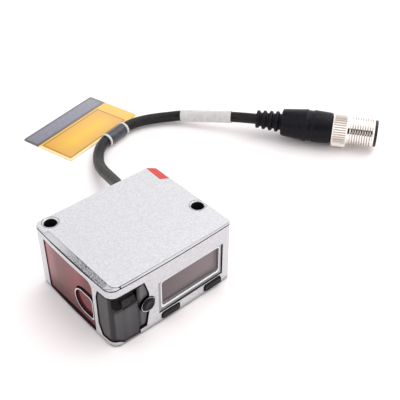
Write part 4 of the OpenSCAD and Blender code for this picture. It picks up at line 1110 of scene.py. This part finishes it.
# %% Surface of the screw
knurls, pitch, knurl_cut, thread_cut = 44, 1.0, 0.42, 0.26
screw_start, knurl_end, thread_start, screw_end = 32.15, 38.35, 38.36, 49.25
knurl_r, thread_r, bore_mm, thread_row = 7.3, 5.95, 5.05, 0.0833
columns = knurls * 6
turn = np.arange(columns) / columns
x_knurl = np.array([screw_start, 32.17, 32.5, 32.75, 33.0, 34.5, 36.0, 37.5, 37.75, 38.0, 38.33,
                    knurl_end])
x_thread = np.concatenate([[thread_start, 38.6, 38.9], np.arange(39.1, 48.6, thread_row),
                           [48.7, 48.9, screw_end]])
x_back = np.array([screw_end, 45.0, 40.0, screw_start])
r_knurl = np.interp(x_knurl, [screw_start, 32.16, 32.75, 37.75, 38.34, knurl_end],
                    [6.1, 6.8, knurl_r, knurl_r, 6.8, 6.1])
r_thread = np.interp(x_thread, [thread_start, 48.55, screw_end], [thread_r, thread_r, thread_r - 0.5])
knurl_depth = knurl_cut * fade(x_knurl, 32.75, 37.75, 0.35)[:, None] * wave(knurls * turn + 0.5)[None, :]
thread_depth = (thread_cut * fade(x_thread, 39.6, 48.3, 0.5)[:, None]
                * wave(x_thread[:, None] / pitch - turn[None, :], crest=0.60))
r_back = np.broadcast_to([[bore_mm + 0.02], [bore_mm], [bore_mm], [bore_mm]], (4, columns))
r_all = np.vstack([r_knurl[:, None] - knurl_depth, r_thread[:, None] - thread_depth, r_back])
x_all = np.concatenate([x_knurl, x_thread, x_back])
side, up = np.array([-plug_axis[1], plug_axis[0], 0.0]), np.array([0, 0, 1.0])
spokes = np.cos(tau * turn)[:, None] * side + np.sin(tau * turn)[:, None] * up
screw_grid = plug_tail + 1e-3 * (x_all[:, None, None] * plug_axis + r_all[..., None] * spokes[None])
print("screw grid", screw_grid.shape[:2])

# %% [markdown]
# The plating is bright on the thread and more matt on the knurl. Grooves are darker and browner than
# crests, because light reaches them only after it has met the metal before. So the map holds the depth
# of cut next to the place along the axis, and both finishes read it.

# %% Plating of the screw
depth_all = np.vstack([0.30 * knurl_depth, thread_depth, np.zeros((4, columns))])
screw_uvs = np.stack(np.broadcast_arrays(x_all[:, None], depth_all), -1)


def plated(material, from_mm, to_mm, plain, deep):
    """The colour goes from plain to deep where the depth on the map goes from from_mm to to_mm."""
    depth = spread_of(material, coordinate(material, 1, uv=True), from_mm, to_mm)
    color_from(material, mix_colors(material, depth, plain, deep))


nickel = finish("nickel_plate", (0.83, 0.79, 0.74), 0.16, 1.0)
plated(nickel, 0.09, 0.30, mottle(nickel, 0.002, (0.86, 0.83, 0.79), (0.94, 0.92, 0.89)),
       (0.42, 0.30, 0.23))
uneven(nickel, 0.0008, 0.07, 0.15)
screw = place_piece(skin("coupling_nut", screw_grid, ring=True, uvs=screw_uvs), nickel, "coupling_screw")
screw.data.set_sharp_from_angle(angle=radians(40))
knurled = finish("knurled_nickel", (0.94, 0.89, 0.84), 0.42, 1.0)
plated(knurled, 0.03, 0.12, mottle(knurled, 0.0015, (0.91, 0.86, 0.81), (0.97, 0.93, 0.89)),
       (0.66, 0.56, 0.49))
screw.data.materials.append(knurled)
row_of_quad = np.arange(len(screw.data.polygons)) // columns
screw.data.polygons.foreach_set("material_index", (row_of_quad < len(x_knurl) - 1).astype(np.int32))
print("screw faces", len(screw.data.polygons))

# %% [markdown]
# Inside the screw sits the black contact carrier with its collar, and four gold pins stand in it.
# They keep the solids' shape and only get their edges and finishes.

# %% Carrier and pins
carrier_black = finish("carrier_black", (0.016, 0.013, 0.013), 0.34, edge=0.0001, Specular_IOR_Level=0.3)
mottle(carrier_black, 0.001, (0.011, 0.009, 0.009), (0.024, 0.020, 0.020))
carrier = skin_of("contact_carrier", carrier_black)
gold = finish("pin_gold", (0.95, 0.70, 0.30), 0.18, 1.0, edge=5e-05)
uneven(gold, 0.0006, 0.12, 0.28)
pins = skin_of("contact_pins", gold)
print("carrier and pins dressed")

# %% [markdown]
# A white marker sleeve is pushed on to the lead behind the plug. It is a short tube cut with a blade,
# so its ends are flat with a slightly proud lip, and its wall is thick enough to show at the end. Two
# rings of the same plastic sit on either side of the tag's wrap.

# %% Marker sleeve and tag rings
band_inner, sleeve_wall, ring_wall, end_gap = 2.28, 0.34, 0.60, 0.3
white_plastic = finish("white_plastic", (0.56, 0.55, 0.54), 0.42, Subsurface_Weight=0.15,
                       Subsurface_Scale=0.001)
mottle(white_plastic, 0.002, (0.53, 0.52, 0.51), (0.61, 0.60, 0.595))
grain(white_plastic, 0.0006, 0.000012)


def band_on_lead(name, start, stop, x0, x1, thick, lip=0.0):
    """A ring's section, from x0 to x1 along the line from start to stop, carried round that line. It
    is flat with a lip at both ends, or slightly crowned where it is shorter than 2 mm."""
    low, top, mid = band_inner, band_inner + thick, (x0 + x1) / 2
    outline = [[x0, low], [x0, top + lip], [x0 + 0.35, top + lip], [x0 + 0.7, top], [mid, top],
               [x1 - 0.7, top], [x1 - 0.35, top + lip], [x1, top + lip], [x1, low], [mid, low]]
    if x1 - x0 < 2:
        outline = [[x0, low], [x0, top], [mid, top + 0.03], [x1, top], [x1, low], [mid, low]]
    axis = (stop - start) / np.linalg.norm(stop - start)
    return turned(name, 1e-3 * closed(outline, 0.12), start, axis, 56, ring=True)


sleeve_ends, tag_ends = (route[22], route[25]), (route[13], route[16])
sleeve_run, tag_run = (1000 * np.linalg.norm(b - a) for a, b in (sleeve_ends, tag_ends))
sleeve = place_piece(band_on_lead("wire_marker", *sleeve_ends, end_gap, sleeve_run - end_gap, sleeve_wall,
                                  0.04), white_plastic, "marker_sleeve")
ring_a = band_on_lead("tag_ring_near", *tag_ends, end_gap, 1 + end_gap, ring_wall)
ring_b = band_on_lead("tag_ring_far", *tag_ends, tag_run - 1 - end_gap, tag_run - end_gap, ring_wall)
for ring in (ring_a, ring_b):
    place_piece(ring, white_plastic, "tag_rings")
print("sleeve %.1f mm, tag run %.2f mm" % (sleeve_run - 2 * end_gap, tag_run))

# %% [markdown]
# The tag is a laminated card held to the lead by a wrapped strip. The card lies on the table. It
# is a slab with rounded corners: rows step from the underside over the rounded edge to the top, and
# columns follow its outline, so one grid makes it. The print is drawn by the material.

# %% Tag card
tag_dir = (route[16] - route[13]) / np.linalg.norm(route[16] - route[13])
tag_out = np.array([-tag_dir[1], tag_dir[0], 0.0])
half_card, card_shift, corner_mm = 21.5, -1, 0.9
tag_x0, tag_x1 = (tag_run / 2 + card_shift + side * half_card for side in (-1, 1))
tag_y0, tag_y1 = 5.0, 32.0


def on_card(points, height):
    """Card coordinates in mm to the scene: along the lead, away from it, and up from the table."""
    base = route[13] * [1, 1, 0]
    return base + 1e-3 * (points[..., :1] * tag_dir + points[..., 1:2] * tag_out
                          + height[..., None] * np.array([0, 0, 1.0]))


edge = rounded_outline(tag_x0, tag_x1, tag_y0, tag_y1, corner_mm)
middle = np.array([(tag_x0 + tag_x1) / 2, (tag_y0 + tag_y1) / 2])
inset = np.array([0.10, 0.0, 0.0, 0.03, 0.10])[:, None, None]  # rows from the underside to the top
height = np.array([0.02, 0.08, 0.34, 0.41, 0.44])
shrunk = edge[None] - inset * np.sign(edge - middle)[None]
card_grid = on_card(shrunk, np.broadcast_to(height[:, None], shrunk.shape[:2]))
card = skin("tag_card", card_grid, uvs=shrunk)
card.data.set_sharp_from_angle(angle=radians(50))
print("card %.1f x %.1f mm" % (tag_x1 - tag_x0, tag_y1 - tag_y0))

# %% [markdown]
# The card is printed in plain fields: amber in a brown frame line, cream along two margins, and a
# slate band with a lilac field at the far edge. An image could carry them, but soft rectangles on the
# card's own map in millimetres stay sharp at any distance. They are laid over each other in order.

# %% Tag print
card_print = finish("tag_print", (0.95, 0.70, 0.10), 0.33, Coat_Weight=0.3, Coat_Roughness=0.2)


def box_mask(material, x0, x1, y0, y1, soft):
    """1 inside a rectangle of the card, in mm on its map, with edges soft wide."""
    return both(material, inside(material, 0, x0, x1, soft, True),
                inside(material, 1, y0, y1, soft, True))


cream, deep = (0.90, 0.76, 0.46), (0.66, 0.33, 0.06)
brown, slate = (0.26, 0.12, 0.012), (0.115, 0.10, 0.105)
beyond, band_y, line_mm = 99, 23.3, 0.5
line_x0, line_x1, line_y0, line_y1 = -15.0, 20.3, 6.3, 22.2
amber = mix_colors(card_print, noise_of(card_print, 9.0, 2.0, uv=True), (0.80, 0.49, 0.04),
                   (0.76, 0.42, 0.06))
yellow_field = mix_colors(card_print, box_mask(card_print, -11, 17, 9, 19, 9.0), deep,
                          (0.76, 0.46, 0.045))
lilac_field = mix_colors(card_print, noise_of(card_print, 1.1, 3.0, uv=True, stretch=(0.45, 1, 1)),
                         (0.13, 0.13, 0.17), (0.28, 0.28, 0.345))
fields = [  # rectangle, softness of its edges, colour
    ((-beyond, -15.6, -beyond, beyond), 0.8, cream), ((-beyond, 8.0, -beyond, 5.9), 0.8, cream),
    ((line_x0, line_x1, line_y0, line_y1), 0.25, brown),
    ((line_x0 + line_mm, line_x1 - line_mm, line_y0 + line_mm, line_y1 - line_mm), 0.25, yellow_field),
    ((-beyond, beyond, band_y - 0.2, beyond), 0.5, slate),
    ((tag_x0 + 0.9, tag_x1 - 1.2, band_y + 1.3, tag_y1 - 1.0), 0.9, lilac_field)]
print_color = amber
for rectangle, soft, color in fields:
    print_color = mix_colors(card_print, box_mask(card_print, *rectangle, soft), print_color, color)
color_from(card_print, print_color)
grain(card_print, 0.6, 0.000012, uv=True)
place_piece(card, card_print, "cable_tag")
print("card has", len(fields), "fields on its ground")

# %% [markdown]
# The strip that holds the card goes round the lead between the two rings and comes down to the card.
# Its section is drawn once, a circle that opens into a tangent slope, and carried along the lead.
# It is slate blue film with a satin face.

# %% Tag wrap
wrap_gap, wrap_r, table_y, slope_end, open_from, open_to = 1.4, 2.62, -2.9, 5.3, 52, 318
wrap_from, wrap_to = wrap_gap, tag_run - wrap_gap
around = np.radians(np.linspace(open_from, open_to, 54))
arc_part = wrap_r * np.stack([np.cos(around), np.sin(around)], -1)
t = np.linspace(0, 1, 12)[1:, None]
under = (1 - t) * arc_part[-1] + t * np.array([slope_end, table_y + 0.03])
over_start, over_mid = np.array([slope_end, table_y + 0.5]), np.array([3.0, table_y + 0.9])
over_end = arc_part[0]
over = ((1 - t) ** 2 * over_start + 2 * t * (1 - t) * over_mid + t**2 * over_end)[:-1]
section = np.vstack([arc_part, under, over_start[None], over])
x_wrap = np.array([0.0, 0.04, 0.12, 0.5, 0.88, 0.96, 1.0]) * (wrap_to - wrap_from) + wrap_from
scale = np.array([0.985, 0.997, 1.0, 1.0, 1.0, 0.997, 0.985])
flat_side = np.cross([0, 0, 1.0], tag_dir)
wrap_grid = route[13] + 1e-3 * (x_wrap[:, None, None] * tag_dir
                                + scale[:, None, None] * section[None, :, :1] * flat_side
                                + section[None, :, 1:2] * np.array([0, 0, 1.0]))
wrap_blue = finish("wrap_film", (0.035, 0.038, 0.052), 0.30, Coat_Weight=0.1)
mottle(wrap_blue, 0.0022, (0.015, 0.016, 0.023), (0.036, 0.039, 0.053))
grain(wrap_blue, 0.0009, 0.00002)
wrap = place_piece(skin("tag_wrap", wrap_grid), wrap_blue, "cable_tag")
print("wrap %.1f mm long" % (wrap_to - wrap_from))

# %% [markdown]
# The boot guides the lead out of the housing: a flange inside the wall, then a short taper with three
# grooves that let it bend. The solid has all of that, so it only gets the seal's rubber.

# %% Cable boot
dress("cable_boot", rubber)
print("boot dressed as", rubber.name)

# %% [markdown]
# What sits inside the housing shows only through gaps and in cut-away views, yet each piece gets its
# own finish: green board with a mask, black packages, tinned screws, brass and glass.

# %% Inside pieces
def simple(name, color, rough, metal, size, nodes, spread=0.2, **sockets):
    """A finish with a mottle of spread around its colour, given to several CAD nodes."""
    material = finish(name, color, rough, metal, **sockets)
    darker, lighter = ([min(1, c * share) for c in color] for share in (1 - spread, 1 + spread))
    mottle(material, size, darker, lighter)
    for each in nodes:
        dress(each, material)


simple("board_green", (0.03, 0.16, 0.07), 0.35, 0.0, 0.002,
       ("main_board", "display_board", "sensor_board"))
simple("chip_black", (0.02, 0.02, 0.022), 0.45, 0.0, 0.0006,
       ("board_chips", "tact_switches", "image_sensor"))
simple("steel", (0.62, 0.62, 0.63), 0.28, 1.0, 0.0008, ("board_screws",))
simple("optics_black", (0.018, 0.018, 0.019), 0.5, 0.0, 0.001, ("optics_block",))
simple("brass", (0.80, 0.60, 0.28), 0.25, 1.0, 0.0008, ("laser_diode",))
simple("clear_lens", (0.75, 0.78, 0.80), 0.05, 0.0, 0.002, ("receive_lens",), 0.03, IOR=1.5)
simple("display_cell", (0.10, 0.10, 0.10), 0.3, 0.0, 0.001, ("display_module",))
simple("guide_clear", (0.70, 0.72, 0.70), 0.12, 0.0, 0.001, ("light_guide",), 0.04)
simple("lamp_white", (0.80, 0.80, 0.72), 0.4, 0.0, 0.0005, ("indicator_leds",), 0.05)
simple("ribbon_orange", (0.55, 0.25, 0.06), 0.35, 0.0, 0.0008, ("board_ribbon",))
print("inside pieces dressed")
